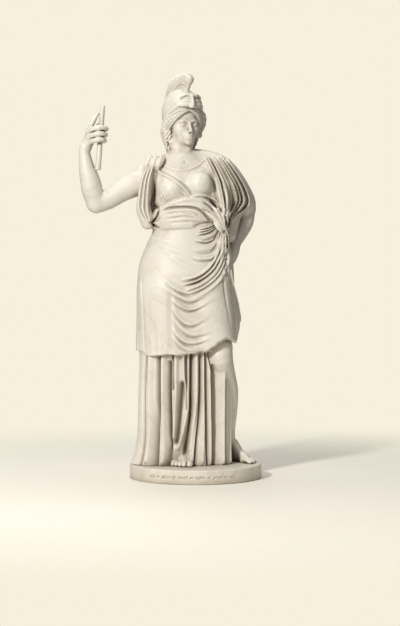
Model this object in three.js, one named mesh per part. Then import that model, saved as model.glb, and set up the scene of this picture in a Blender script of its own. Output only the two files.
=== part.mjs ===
// A helmeted woman: a standing statue carved from one block of marble, on a low round plinth.
// Millimetres. +Z is up, the viewer stands on the -Y side, and +X is the viewer's right.
// The origin is the middle of the plinth's underside.
//
// The figure is carved as a field: every form gives a distance to its surface, negative inside the
// stone. The forms are joined and cut on a grid, the surface is drawn off the grid as triangles, and
// flat areas then give up most of their triangles.

import * as THREE from "three";
import { triTable } from "three/addons/objects/MarchingCubes.js";

// Driving sizes
const PLINTH_RADIUS = 333;
const PLINTH_HEIGHT = 70;
const PLINTH_EDGE = 5; // rounding of the plinth's two rims
const BED_GAP = 0.3; // the figure stands this far above the plinth's top
const CELL = 8; // spacing of the carving grid
const FINE_CELL = 5; // the same, round the head and the raised hand
const FIGURE_TRIANGLES = 9000;
const EYE_HEIGHT = 1774; // of the statue's eyes above the floor
const HEAD_TURN = 23; // degrees that she looks towards her own left

// Small maths
const { abs, max, min, sqrt, sin, cos, atan2, hypot, PI, round, floor, ceil } = Math;
const DEG = PI / 180;
const clamp = (v, low, high) => min(max(v, low), high);
const mix = (a, b, t) => a + (b - a) * t;
const smoothStep = (low, high, v) => {
  const t = clamp((v - low) / (high - low), 0, 1);
  return t * t * (3 - 2 * t);
};
const smoothMin = (a, b, k) => {
  const h = max(k - abs(a - b), 0);
  return min(a, b) - (h * h) / (4 * k);
};
const smoothMax = (a, b, k) => -smoothMin(-a, -b, k);

// From a to b with the given slopes at the two ends, as t goes from 0 to 1
const cubic = (a, b, slopeA, slopeB, t) => {
  const rise = b - a;
  return a + t * (slopeA + t * (3 * rise - 2 * slopeA - slopeB + t * (slopeA + slopeB - 2 * rise)));
};

// A smooth curve through points, sampled at even steps of its parameter. Each point may carry
// further numbers after x, y and z, such as a radius.
function curveThrough(points, steps) {
  const made = [];
  const last = points.length - 1;
  for (let s = 0; s <= steps; s++) {
    const along = (s / steps) * last;
    const i = min(floor(along), last - 1);
    const t = along - i;
    const before = points[max(i - 1, 0)];
    const a = points[i];
    const b = points[i + 1];
    const after = points[min(i + 2, last)];
    made.push(
      a.map((_, n) => {
        const slopeA = (b[n] - before[n]) / 2;
        const slopeB = (after[n] - a[n]) / 2;
        return cubic(a[n], b[n], slopeA, slopeB, t);
      }),
    );
  }
  return made;
}

// Forms. Each has at(x, y, z), its distance, and a box that holds its surface.
function boxAround(points, reach) {
  const box = new THREE.Box3();
  for (const [x, y, z] of points) box.expandByPoint(new THREE.Vector3(x, y, z));
  return box.expandByScalar(reach);
}

// A rod whose radius changes evenly from a to b, with round ends.
function limbDistance(x, y, z, a, b) {
  const [dx, dy, dz] = [b[0] - a[0], b[1] - a[1], b[2] - a[2]];
  const length2 = dx * dx + dy * dy + dz * dz;
  const t = clamp(((x - a[0]) * dx + (y - a[1]) * dy + (z - a[2]) * dz) / length2, 0, 1);
  return hypot(x - a[0] - t * dx, y - a[1] - t * dy, z - a[2] - t * dz) - mix(a[3], b[3], t);
}

// A limb through points of [x, y, z, radius].
function tube(points, steps = (points.length - 1) * 3) {
  const line = points.length > 2 ? curveThrough(points, steps) : points;
  const widest = max(...line.map((p) => p[3]));
  return {
    box: boxAround(line, widest),
    at(x, y, z) {
      let best = 1e9;
      for (let i = 1; i < line.length; i++) best = min(best, limbDistance(x, y, z, line[i - 1], line[i]));
      return best;
    },
  };
}

function ellipsoid([cx, cy, cz], [rx, ry, rz]) {
  const least = min(rx, ry, rz);
  return {
    box: boxAround([[cx - rx, cy - ry, cz - rz], [cx + rx, cy + ry, cz + rz]], 0),
    at(x, y, z) {
      const [u, v, w] = [(x - cx) / rx, (y - cy) / ry, (z - cz) / rz];
      const k0 = hypot(u, v, w);
      const k1 = hypot(u / rx, v / ry, w / rz);
      return k1 > 1e-9 ? (k0 * (k0 - 1)) / k1 : -least;
    },
  };
}
const ball = (centre, r) => ellipsoid(centre, [r, r, r]);

// A form that is turned and moved as a whole, such as everything that belongs to the head.
function placed(matrix, form) {
  const m = matrix.clone().invert().elements;
  return {
    box: form.box.clone().applyMatrix4(matrix),
    at: (x, y, z) =>
      form.at(
        m[0] * x + m[4] * y + m[8] * z + m[12],
        m[1] * x + m[5] * y + m[9] * z + m[13],
        m[2] * x + m[6] * y + m[10] * z + m[14],
      ),
  };
}

// Drapery hangs on lofts: upright bodies given by sections of [z, left, right, front, back].
function loft(sections, roundness, relief, lean = 0) {
  const low = sections[0][0];
  const high = sections[sections.length - 1][0];
  const table = [];
  const rows = 400;
  for (let r = 0; r <= rows; r++) {
    const z = mix(low, high, r / rows);
    let i = sections.findIndex((s) => s[0] >= z);
    i = clamp(i, 1, sections.length - 1);
    const [a, b] = [sections[i - 1], sections[i]];
    const before = sections[max(i - 2, 0)];
    const after = sections[min(i + 1, sections.length - 1)];
    const t = (z - a[0]) / (b[0] - a[0]);
    table.push(
      [1, 2, 3, 4].map((n) => {
        const span = b[0] - a[0];
        const steady = b[n] - a[n];
        const slopeA = i > 1 ? ((b[n] - before[n]) / (b[0] - before[0])) * span : steady;
        const slopeB = i < sections.length - 1 ? ((after[n] - a[n]) / (after[0] - a[0])) * span : steady;
        return cubic(a[n], b[n], slopeA, slopeB, t);
      }),
    );
  }
  const section = (z) => table[clamp(round(((z - low) / (high - low)) * rows), 0, rows)];
  const corners = table.flatMap(([l, r, f, b]) => [[l, f, low], [r, b, high]]);
  return {
    section,
    roundness,
    box: boxAround(corners, 45),
    // The angle round the loft: 0 in front, 90 on the viewer's right, 180 behind.
    turn(x, y, z) {
      const [l, r, f, b] = section(z);
      const dx = x - 0.5 * (l + r);
      const dy = y - 0.5 * (f + b) - lean * dx;
      return atan2(dx / (0.5 * (r - l)), -dy / (0.5 * (b - f))) / DEG;
    },
    at(x, y, z) {
      const [l, r, f, b] = section(z);
      const dx = x - 0.5 * (l + r);
      const dy = y - 0.5 * (f + b) - lean * dx;
      const u = abs(dx) / (0.5 * (r - l));
      const v = abs(dy) / (0.5 * (b - f));
      const q = (u ** roundness + v ** roundness) ** (1 / roundness);
      const rho = hypot(dx, dy);
      const radial = q > 0.25 ? rho * (1 - 1 / q) : -0.75 * min(r - l, b - f);
      return relief ? radial - relief.at(this.turn(x, y, z) * DEG * DRUM, z) : radial;
    },
  };
}

// Relief: a sheet of heights that is laid over a form. Ridges and hollows are drawn on it as strokes.
class Relief {
  constructor(uLow, uHigh, vLow, vHigh, step, wraps) {
    Object.assign(this, { uLow, vLow, step, wraps });
    this.nu = round((uHigh - uLow) / step) + 1;
    this.nv = round((vHigh - vLow) / step) + 1;
    this.high = new Float32Array(this.nu * this.nv);
    this.low = new Float32Array(this.nu * this.nv);
  }
  // A stroke along points of [u, v]. Positive height is a ridge, negative height a hollow.
  stroke(points, width, height, startTaper = 0.25, endTaper = 0.25) {
    const line = points.length > 2 ? curveThrough(points, (points.length - 1) * 8) : points;
    const sheet = height > 0 ? this.high : this.low;
    for (let s = 1; s < line.length; s++) {
      const [a, b] = [line[s - 1], line[s]];
      const [du, dv] = [b[0] - a[0], b[1] - a[1]];
      const length2 = du * du + dv * dv + 1e-9;
      const iLow = max(floor((min(a[0], b[0]) - width - this.uLow) / this.step), 0);
      const iHigh = min(ceil((max(a[0], b[0]) + width - this.uLow) / this.step), this.nu - 1);
      const jLow = max(floor((min(a[1], b[1]) - width - this.vLow) / this.step), 0);
      const jHigh = min(ceil((max(a[1], b[1]) + width - this.vLow) / this.step), this.nv - 1);
      for (let j = jLow; j <= jHigh; j++) {
        for (let i = iLow; i <= iHigh; i++) {
          const u = this.uLow + i * this.step;
          const v = this.vLow + j * this.step;
          const t = clamp(((u - a[0]) * du + (v - a[1]) * dv) / length2, 0, 1);
          const away = hypot(u - a[0] - t * du, v - a[1] - t * dv) / width;
          if (away >= 1) continue;
          const along = (s - 1 + t) / (line.length - 1);
          const fade = min(
            1,
            startTaper > 0 ? along / startTaper : 1,
            endTaper > 0 ? (1 - along) / endTaper : 1,
          );
          const profile = cos((PI / 2) * away) ** 2 * sin((PI / 2) * fade) * height;
          const at = j * this.nu + i;
          sheet[at] = height > 0 ? max(sheet[at], profile) : min(sheet[at], profile);
        }
      }
    }
    return this;
  }
  at(u, v) {
    const iu = clamp((u - this.uLow) / this.step, 0, this.nu - 1.001);
    const iv = clamp((v - this.vLow) / this.step, 0, this.nv - 1.001);
    const i = floor(iu);
    const j = floor(iv);
    const [s, t] = [iu - i, iv - j];
    const k = j * this.nu + i;
    const value = (n) => this.high[n] + this.low[n];
    return mix(mix(value(k), value(k + 1), s), mix(value(k + this.nu), value(k + this.nu + 1), s), t);
  }
}

// Sheets round a loft are unrolled from a drum of this radius, so that widths stay in millimetres.
const DRUM = 230;
const aroundSheet = (vLow, vHigh) => new Relief(-PI * DRUM, PI * DRUM, vLow, vHigh, 4);

// Lines on a loft's front are drawn in x and z, then carried to the loft's turn and z.
const ontoLoft = (body, points) =>
  points.map(([x, z]) => {
    const [l, r] = body.section(z);
    const u = clamp((x - 0.5 * (l + r)) / (0.5 * (r - l)), -0.999, 0.999);
    return [atan2(u, (1 - abs(u) ** body.roundness) ** (1 / body.roundness)) * DRUM, z];
  });

// Pleats between two guide lines: ridges, with a hollow after each. They wander from even spacing, and
// "ragged" shortens some of them.
function between(first, second, t, cutShort = 0) {
  const line = first.map((p, i) => [mix(p[0], second[i][0], t), mix(p[1], second[i][1], t)]);
  const [a, b] = line.slice(-2);
  line[line.length - 1] = [mix(b[0], a[0], cutShort), mix(b[1], a[1], cutShort)];
  return line;
}
function pleats(sheet, first, second, style) {
  const { count, width, height, depth, start = 0.15, end = 0.3, wander = 0.15, ragged = 0 } = style;
  for (let n = 0; n < count; n++) {
    const t = (n + wander * sin(3.7 * n)) / (count - 1);
    const cutShort = ragged * (0.5 + 0.5 * sin(2.9 * n + 1));
    const broad = width * (1 + wander * sin(4.1 * n));
    sheet.stroke(between(first, second, t, cutShort), broad, height * (1 + 0.3 * sin(2.3 * n)), start, end);
    if (n === count - 1) continue;
    const after = (n + 0.5 + wander * sin(2.9 * n + 2)) / (count - 1);
    const wide = width * (0.9 + 0.25 * cos(3.3 * n));
    sheet.stroke(
      between(first, second, after, cutShort),
      wide,
      -depth * (1 + 0.25 * sin(1.7 * n)),
      start,
      end,
    );
  }
}

// The carving grid. It is closer round the head, the raised hand and the feet.
function spacing(...runs) {
  const lines = [runs[0][0]];
  for (const [from, to, step] of runs) {
    const count = round((to - from) / step);
    for (let i = 1; i <= count; i++) lines.push(from + ((to - from) * i) / count);
  }
  return Float64Array.from(lines);
}
const gridX = spacing([-620, -160, CELL], [-160, 60, FINE_CELL], [60, 350, CELL]);
const gridY = spacing([-260, -130, CELL], [-130, 120, FINE_CELL], [120, 290, CELL]);
const BED = PLINTH_HEIGHT + BED_GAP; // where the stone ends below
const gridZ = spacing([BED - 2 * CELL, BED, CELL], [BED, 1600, CELL], [1600, 2064, FINE_CELL]);
const [NX, NY, NZ] = [gridX.length, gridY.length, gridZ.length];
const FAR = 80;

const lineBefore = (lines, v) => {
  let i = 0;
  while (i < lines.length - 1 && lines[i + 1] < v) i++;
  return i;
};

class Carving {
  constructor() {
    this.d = new Float32Array(NX * NY * NZ).fill(FAR);
  }
  each(box, reach, change) {
    const i0 = lineBefore(gridX, box.min.x - reach);
    const i1 = min(lineBefore(gridX, box.max.x + reach) + 1, NX - 1);
    const j0 = lineBefore(gridY, box.min.y - reach);
    const j1 = min(lineBefore(gridY, box.max.y + reach) + 1, NY - 1);
    const k0 = lineBefore(gridZ, box.min.z - reach);
    const k1 = min(lineBefore(gridZ, box.max.z + reach) + 1, NZ - 1);
    for (let k = k0; k <= k1; k++) {
      for (let j = j0; j <= j1; j++) {
        const row = (k * NY + j) * NX;
        for (let i = i0; i <= i1; i++) {
          this.d[row + i] = change(this.d[row + i], gridX[i], gridY[j], gridZ[k]);
        }
      }
    }
    return this;
  }
  join(form, blend = 4) {
    return this.each(form.box, blend + 20, (d, x, y, z) => smoothMin(d, form.at(x, y, z), blend));
  }
  cut(form, blend = 4) {
    return this.each(form.box, blend + 20, (d, x, y, z) => smoothMax(d, -form.at(x, y, z), blend));
  }
  // Another carving, made by itself first, is joined to this one.
  add(other, blend = 4) {
    for (let n = 0; n < this.d.length; n++) this.d[n] = smoothMin(this.d[n], other.d[n], blend);
    return this;
  }
}

// The surface of a carving, one grid box at a time. Corners and edges are numbered as the table expects.
const CORNERS = [[0, 0, 0], [1, 0, 0], [1, 1, 0], [0, 1, 0], [0, 0, 1], [1, 0, 1], [1, 1, 1], [0, 1, 1]];
const EDGES = [
  [0, 1], [1, 2], [3, 2], [0, 3], [4, 5], [5, 6], [7, 6], [4, 7], [0, 4], [1, 5], [2, 6], [3, 7],
];

function surfaceOf(carving) {
  const d = carving.d;
  const step = CORNERS.map(([i, j, k]) => i + NX * (j + NY * k));
  const axis = EDGES.map(([a, b]) => CORNERS[b].findIndex((v, n) => v !== CORNERS[a][n]));
  const points = [];
  const faces = [];
  const known = new Map();
  const crossing = (i, j, k, node, edge) => {
    const [a, b] = EDGES[edge];
    const key = (node + step[a]) * 3 + axis[edge];
    let made = known.get(key);
    if (made === undefined) {
      const [da, db] = [d[node + step[a]], d[node + step[b]]];
      const t = clamp(da / (da - db), 0.08, 0.92);
      const [ia, ja, ka] = CORNERS[a];
      const [ib, jb, kb] = CORNERS[b];
      made = points.length / 3;
      known.set(key, made);
      points.push(
        mix(gridX[i + ia], gridX[i + ib], t),
        mix(gridY[j + ja], gridY[j + jb], t),
        mix(gridZ[k + ka], gridZ[k + kb], t),
      );
    }
    return made;
  };
  for (let k = 0; k < NZ - 1; k++) {
    for (let j = 0; j < NY - 1; j++) {
      for (let i = 0; i < NX - 1; i++) {
        const node = (k * NY + j) * NX + i;
        let outside = 0;
        for (let c = 0; c < 8; c++) if (d[node + step[c]] >= 0) outside |= 1 << c;
        if (outside === 0 || outside === 255) continue;
        for (let t = outside * 16; triTable[t] >= 0; t += 3) {
          faces.push(
            crossing(i, j, k, node, triTable[t]),
            crossing(i, j, k, node, triTable[t + 1]),
            crossing(i, j, k, node, triTable[t + 2]),
          );
        }
      }
    }
  }
  return { points: Float64Array.from(points), faces: Int32Array.from(faces) };
}

// Only the largest connected body is kept.
function largestBody({ points, faces }) {
  const parent = Int32Array.from({ length: points.length / 3 }, (_, i) => i);
  const root = (i) => {
    while (parent[i] !== i) i = parent[i] = parent[parent[i]];
    return i;
  };
  for (let f = 0; f < faces.length; f += 3) {
    parent[root(faces[f])] = root(faces[f + 1]);
    parent[root(faces[f + 1])] = root(faces[f + 2]);
  }
  const tally = new Map();
  for (let f = 0; f < faces.length; f += 3) tally.set(root(faces[f]), (tally.get(root(faces[f])) ?? 0) + 1);
  const best = [...tally.entries()].sort((a, b) => b[1] - a[1])[0][0];
  const kept = [];
  for (let f = 0; f < faces.length; f += 3) {
    if (root(faces[f]) === best) kept.push(faces[f], faces[f + 1], faces[f + 2]);
  }
  return { points, faces: Int32Array.from(kept) };
}

// Edges are closed up, cheapest first, until the surface has few enough triangles. The cost of an edge
// is the squared distance that its new point lies from the planes of the faces round it.
function lighten({ points, faces }, target, detailAt) {
  const count = points.length / 3;
  const P = Float64Array.from(points);
  const Q = new Float64Array(count * 10);
  const F = Int32Array.from(faces);
  const alive = new Uint8Array(F.length / 3).fill(1);
  const ring = Array.from({ length: count }, () => []);
  const normal = (a, b, c) => {
    const [ux, uy, uz] = [P[b * 3] - P[a * 3], P[b * 3 + 1] - P[a * 3 + 1], P[b * 3 + 2] - P[a * 3 + 2]];
    const [vx, vy, vz] = [P[c * 3] - P[a * 3], P[c * 3 + 1] - P[a * 3 + 1], P[c * 3 + 2] - P[a * 3 + 2]];
    return [uy * vz - uz * vy, uz * vx - ux * vz, ux * vy - uy * vx];
  };
  let total = 0;
  for (let f = 0; f < F.length / 3; f++) {
    const [a, b, c] = [F[f * 3], F[f * 3 + 1], F[f * 3 + 2]];
    [a, b, c].forEach((v) => ring[v].push(f));
    const n = normal(a, b, c);
    const size = hypot(...n) + 1e-12;
    const [nx, ny, nz] = n.map((v) => v / size);
    const e = -(nx * P[a * 3] + ny * P[a * 3 + 1] + nz * P[a * 3 + 2]);
    const w = (size / 2) * detailAt(P[a * 3], P[a * 3 + 1], P[a * 3 + 2]);
    const q = [nx * nx, nx * ny, nx * nz, nx * e, ny * ny, ny * nz, ny * e, nz * nz, nz * e, e * e];
    for (const v of [a, b, c]) for (let m = 0; m < 10; m++) Q[v * 10 + m] += q[m] * w;
    total++;
  }
  const stamp = new Int32Array(count);
  const gone = new Uint8Array(count);
  const costAt = (q, x, y, z) =>
    q[0] * x * x + 2 * q[1] * x * y + 2 * q[2] * x * z + 2 * q[3] * x + q[4] * y * y + 2 * q[5] * y * z +
    2 * q[6] * y + q[7] * z * z + 2 * q[8] * z + q[9];
  const offer = (a, b) => {
    const q = new Float64Array(10);
    for (let m = 0; m < 10; m++) q[m] = Q[a * 10 + m] + Q[b * 10 + m];
    const mid = [0, 1, 2].map((n) => (P[a * 3 + n] + P[b * 3 + n]) / 2);
    const span = hypot(P[a * 3] - P[b * 3], P[a * 3 + 1] - P[b * 3 + 1], P[a * 3 + 2] - P[b * 3 + 2]);
    const small = 1e-3 * (q[0] + q[4] + q[7]) + 1e-12;
    const [A, B, C, D, E, I] = [q[0] + small, q[1], q[2], q[4] + small, q[5], q[7] + small];
    const [r0, r1, r2] = [small * mid[0] - q[3], small * mid[1] - q[6], small * mid[2] - q[8]];
    const det = A * (D * I - E * E) - B * (B * I - E * C) + C * (B * E - D * C);
    let best = mid;
    if (abs(det) > 1e-18) {
      const x = (r0 * (D * I - E * E) - B * (r1 * I - E * r2) + C * (r1 * E - D * r2)) / det;
      const y = (A * (r1 * I - E * r2) - r0 * (B * I - E * C) + C * (B * r2 - r1 * C)) / det;
      const z = (A * (D * r2 - r1 * E) - B * (B * r2 - r1 * C) + r0 * (B * E - D * C)) / det;
      if (hypot(x - mid[0], y - mid[1], z - mid[2]) < 2 * span) best = [x, y, z];
    }
    return { a, b, at: best, cost: max(costAt(q, ...best), 0) + 3e-4 * span * span * (q[0] + q[4] + q[7]) };
  };
  const heap = [];
  const swap = (i, j) => ([heap[i], heap[j]] = [heap[j], heap[i]]);
  const push = (item) => {
    let i = heap.push(item) - 1;
    while (i > 0 && heap[(i - 1) >> 1].cost > heap[i].cost) {
      swap(i, (i - 1) >> 1);
      i = (i - 1) >> 1;
    }
  };
  const pop = () => {
    const top = heap[0];
    const last = heap.pop();
    if (heap.length) {
      heap[0] = last;
      let i = 0;
      for (;;) {
        const l = 2 * i + 1;
        let m = i;
        if (l < heap.length && heap[l].cost < heap[m].cost) m = l;
        if (l + 1 < heap.length && heap[l + 1].cost < heap[m].cost) m = l + 1;
        if (m === i) break;
        swap(i, m);
        i = m;
      }
    }
    return top;
  };
  const queue = (a, b) => {
    const item = offer(a, b);
    item.sa = stamp[a];
    item.sb = stamp[b];
    item.tries = 0;
    push(item);
  };
  for (let f = 0; f < F.length; f += 3) {
    for (let m = 0; m < 3; m++) {
      const [a, b] = [F[f + m], F[f + ((m + 1) % 3)]];
      if (a < b) queue(a, b);
    }
  }
  const facesOf = (v) => ring[v].filter((f) => alive[f]);
  const around = (v, list) => {
    const set = new Set();
    for (const f of list) for (let m = 0; m < 3; m++) if (F[f * 3 + m] !== v) set.add(F[f * 3 + m]);
    return set;
  };
  // Whether a face would turn over, or become a worse sliver than it was.
  const shape = (u, w) => {
    const n = [u[1] * w[2] - u[2] * w[1], u[2] * w[0] - u[0] * w[2], u[0] * w[1] - u[1] * w[0]];
    const longest2 = max(
      u[0] * u[0] + u[1] * u[1] + u[2] * u[2],
      w[0] * w[0] + w[1] * w[1] + w[2] * w[2],
      (u[0] - w[0]) ** 2 + (u[1] - w[1]) ** 2 + (u[2] - w[2]) ** 2,
    );
    const size = sqrt(n[0] * n[0] + n[1] * n[1] + n[2] * n[2]);
    return { n, size, even: size / (longest2 + 1e-12) };
  };
  const turns = (list, moved, other, at) => {
    for (const f of list) {
      const [p, q, r] = [F[f * 3], F[f * 3 + 1], F[f * 3 + 2]];
      if (p === other || q === other || r === other) continue;
      const spot = (v) => [P[v * 3], P[v * 3 + 1], P[v * 3 + 2]];
      const [b0, b1, b2] = [spot(p), spot(q), spot(r)];
      const before = shape(
        [b1[0] - b0[0], b1[1] - b0[1], b1[2] - b0[2]], [b2[0] - b0[0], b2[1] - b0[1], b2[2] - b0[2]],
      );
      const a0 = p === moved ? at : b0;
      const a1 = q === moved ? at : b1;
      const a2 = r === moved ? at : b2;
      const after = shape(
        [a1[0] - a0[0], a1[1] - a0[1], a1[2] - a0[2]], [a2[0] - a0[0], a2[1] - a0[1], a2[2] - a0[2]],
      );
      const dot = before.n[0] * after.n[0] + before.n[1] * after.n[1] + before.n[2] * after.n[2];
      if (before.even > 0.05 && dot < 0.15 * before.size * after.size) return true;
      if (after.even < 0.04 && after.even < before.even) return true;
    }
    return false;
  };
  while (total > target && heap.length) {
    const item = pop();
    const { a, b, at, sa, sb, tries } = item;
    if (gone[a] || gone[b] || stamp[a] !== sa || stamp[b] !== sb) continue;
    const [fa, fb] = [facesOf(a), facesOf(b)];
    const shared = [...around(a, fa)].filter((v) => around(b, fb).has(v));
    if (shared.length !== 2) continue;
    if (turns(fa, a, b, at) || turns(fb, b, a, at)) {
      if (tries < 5) push({ ...item, cost: item.cost * 3 + 1e-3, tries: tries + 1 });
      continue;
    }
    for (const f of fb) {
      if (F[f * 3] === a || F[f * 3 + 1] === a || F[f * 3 + 2] === a) {
        alive[f] = 0;
        total--;
      } else {
        for (let m = 0; m < 3; m++) if (F[f * 3 + m] === b) F[f * 3 + m] = a;
      }
    }
    gone[b] = 1;
    P.set(at, a * 3);
    for (let m = 0; m < 10; m++) Q[a * 10 + m] += Q[b * 10 + m];
    ring[a] = [...fa, ...fb].filter((f, n, all) => alive[f] && all.indexOf(f) === n);
    stamp[a]++;
    for (const v of around(a, ring[a])) queue(min(a, v), max(a, v));
  }
  const index = new Map();
  const position = [];
  const triangles = [];
  for (let f = 0; f < F.length / 3; f++) {
    if (!alive[f]) continue;
    for (let m = 0; m < 3; m++) {
      const v = F[f * 3 + m];
      if (!index.has(v)) {
        index.set(v, position.length / 3);
        position.push(P[v * 3], P[v * 3 + 1], P[v * 3 + 2]);
      }
      triangles.push(index.get(v));
    }
  }
  const geometry = new THREE.BufferGeometry();
  geometry.setAttribute("position", new THREE.Float32BufferAttribute(position, 3));
  geometry.setIndex(triangles);
  geometry.computeVertexNormals();
  return geometry;
}

// The underskirt: a long pleated column that reaches the plinth.
const skirtFolds = aroundSheet(60, 720);
const skirt = loft(
  [
    [60, -330, 186, -146, 150],
    [140, -308, 182, -138, 150],
    [240, -294, 180, -132, 150],
    [500, -288, 180, -138, 158],
    [720, -282, 180, -146, 162],
  ],
  2.7,
  skirtFolds,
  0.05,
);
{
  const hollow = (points, width, depth, start = 0.05) =>
    skirtFolds.stroke(ontoLoft(skirt, points), max(width, 12), -depth, start, 0.02);
  const ridge = (points, width, height) => skirtFolds.stroke(
    ontoLoft(skirt, points), max(width, 12), height, 0.1, 0.05,
  );
  hollow([[-278, 620], [-296, 300], [-320, 62]], 14, 15);
  hollow([[-247, 640], [-258, 400], [-282, 62]], 17, 24);
  hollow([[-184, 640], [-186, 400], [-196, 200], [-203, 62]], 15, 34);
  hollow([[-190, 400], [-198, 240], [-204, 140], [-208, 62]], 24, 46, 0.7);
  hollow([[-129, 600], [-127, 320], [-126, 62]], 13, 32);
  hollow([[-126, 200], [-132, 120], [-146, 62]], 17, 34, 0.7);
  hollow([[-112, 640], [-114, 540], [-112, 450]], 12, 10);
  hollow([[-62, 490], [-76, 370], [-84, 290], [-100, 180]], 22, 28);
  hollow([[-48, 640], [-46, 500], [-42, 350]], 12, 14);
  hollow([[-18, 640], [-20, 420], [-26, 300], [-40, 180], [-52, 62]], 16, 38);
  hollow([[-24, 320], [-38, 210], [-50, 130], [-54, 62]], 33, 48, 0.6);
  hollow([[25, 640], [22, 350], [8, 200], [-2, 62]], 13, 22);
  hollow([[52, 640], [56, 330], [68, 62]], 14, 36);
  hollow([[70, 640], [78, 560], [88, 480]], 14, 30);
  hollow([[98, 556], [102, 320], [106, 62]], 34, 56, 0);
  hollow([[-78, 166], [-80, 62]], 54, 42, 0.9);
  hollow([[150, 590], [154, 330], [158, 62]], 12, 18);
  ridge([[-222, 640], [-226, 380], [-246, 80]], 22, 12);
  ridge([[-158, 640], [-156, 340], [-162, 75]], 20, 14);
  ridge([[-96, 640], [-96, 420], [-108, 200]], 16, 13);
  ridge([[-60, 640], [-58, 520], [-40, 380], [-62, 240], [-92, 150]], 12, 14);
  ridge([[2, 640], [2, 420], [-18, 240], [-30, 150]], 15, 13);
  ridge([[38, 640], [38, 340], [32, 75]], 12, 10);
  ridge([[70, 620], [72, 330], [82, 70]], 12, 12);
  ridge([[136, 600], [134, 330], [134, 70]], 12, 15);
  ridge([[170, 600], [172, 330], [172, 70]], 13, 10);
  // The sides and the back hang in plainer pleats.
  for (let n = 0; n < 9; n++) {
    const u = (115 + 18.5 * n) * DEG * DRUM;
    const back = u > PI * DRUM ? u - 2 * PI * DRUM : u;
    const sway = 14 * sin(n * 2.1);
    skirtFolds.stroke(
      [[back, 720], [back + sway, 360], [back - sway, 60]], 26, -30 - 6 * cos(n * 1.7), 0.05, 0.02,
    );
  }
}

// Feet and the bare left calf, seen past the edge of the skirt.
function foot(heel, toe, width, height) {
  const along = new THREE.Vector2(toe[0] - heel[0], toe[1] - heel[1]);
  const length = along.length();
  along.normalize();
  const side = [-along.y, along.x];
  const at = (t, s, z) => [
    heel[0] + along.x * length * t + side[0] * s,
    heel[1] + along.y * length * t + side[1] * s,
    z,
  ];
  const base = PLINTH_HEIGHT;
  const parts = [
    [
      tube([
        [...at(0.1, 0, base + 28), 31], [...at(0.35, 0, base + 32), 30],
        [...at(0.6, 0, base + 18), 27],
      ]),
      9,
    ],
    [
      tube([
        [...at(0.22, 0, base + height), 33], [...at(0.48, -width * 0.08, base + 42), 24],
        [...at(0.74, -width * 0.12, base + 18), 17],
      ]),
      12,
    ],
    [tube([[...at(0.7, -width * 0.32, base + 14), 17], [...at(0.68, width * 0.3, base + 12), 14]]), 9],
  ];
  // Each toe: where it ends along the foot, how far across it lies, and its thickness.
  const toes = [
    [1, -0.39, 12.5], [0.985, -0.15, 9.2], [0.94, 0.03, 8.8], [0.885, 0.2, 8.3], [0.82, 0.36, 8],
  ];
  for (const [end, across, thick] of toes) {
    const s = width * across;
    const r = (thick * abs(width)) / 94;
    const toe = [
      [...at(end - 0.25, s * 0.92, base + 17), r], [...at(end - 0.12, s, base + 16), r * 0.95],
      [...at(end - 0.045, s, base + r * 0.75), r * 0.9],
    ];
    parts.push([tube(toe), 3]);
  }
  return parts;
}
const leftLeg = tube([
  [122, -70, 660, 64],
  [126, -72, 604, 61],
  [146, -16, 520, 54],
  [163, 20, 430, 53],
  [169, 56, 320, 42],
  [171, 84, 235, 31],
  [173, 100, 180, 29],
  [170, 114, 125, 30],
]);
const leftFoot = foot([158, 152], [308, -34], 90, 80);
// A width below zero puts the big toe on the other side.
const rightFoot = foot([-58, 40], [-76, -200], -118, 74);

// The overskirt: an apron of cloth, drawn up over the left knee, with a hanging edge on her left side.
const apronFolds = aroundSheet(600, 1400);
const apron = loft(
  [
    [590, -302, 205, -178, 190],
    [700, -302, 212, -184, 190],
    [770, -300, 224, -186, 188],
    [860, -299, 212, -185, 184],
    [940, -298, 198, -182, 178],
    [1080, -284, 190, -164, 165],
    [1180, -246, 172, -142, 142],
    [1260, -212, 160, -130, 126],
    [1360, -200, 152, -122, 120],
  ],
  2.15,
  apronFolds,
);
const APRON_TOP = 1330; // it ends here, under the sash
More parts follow.
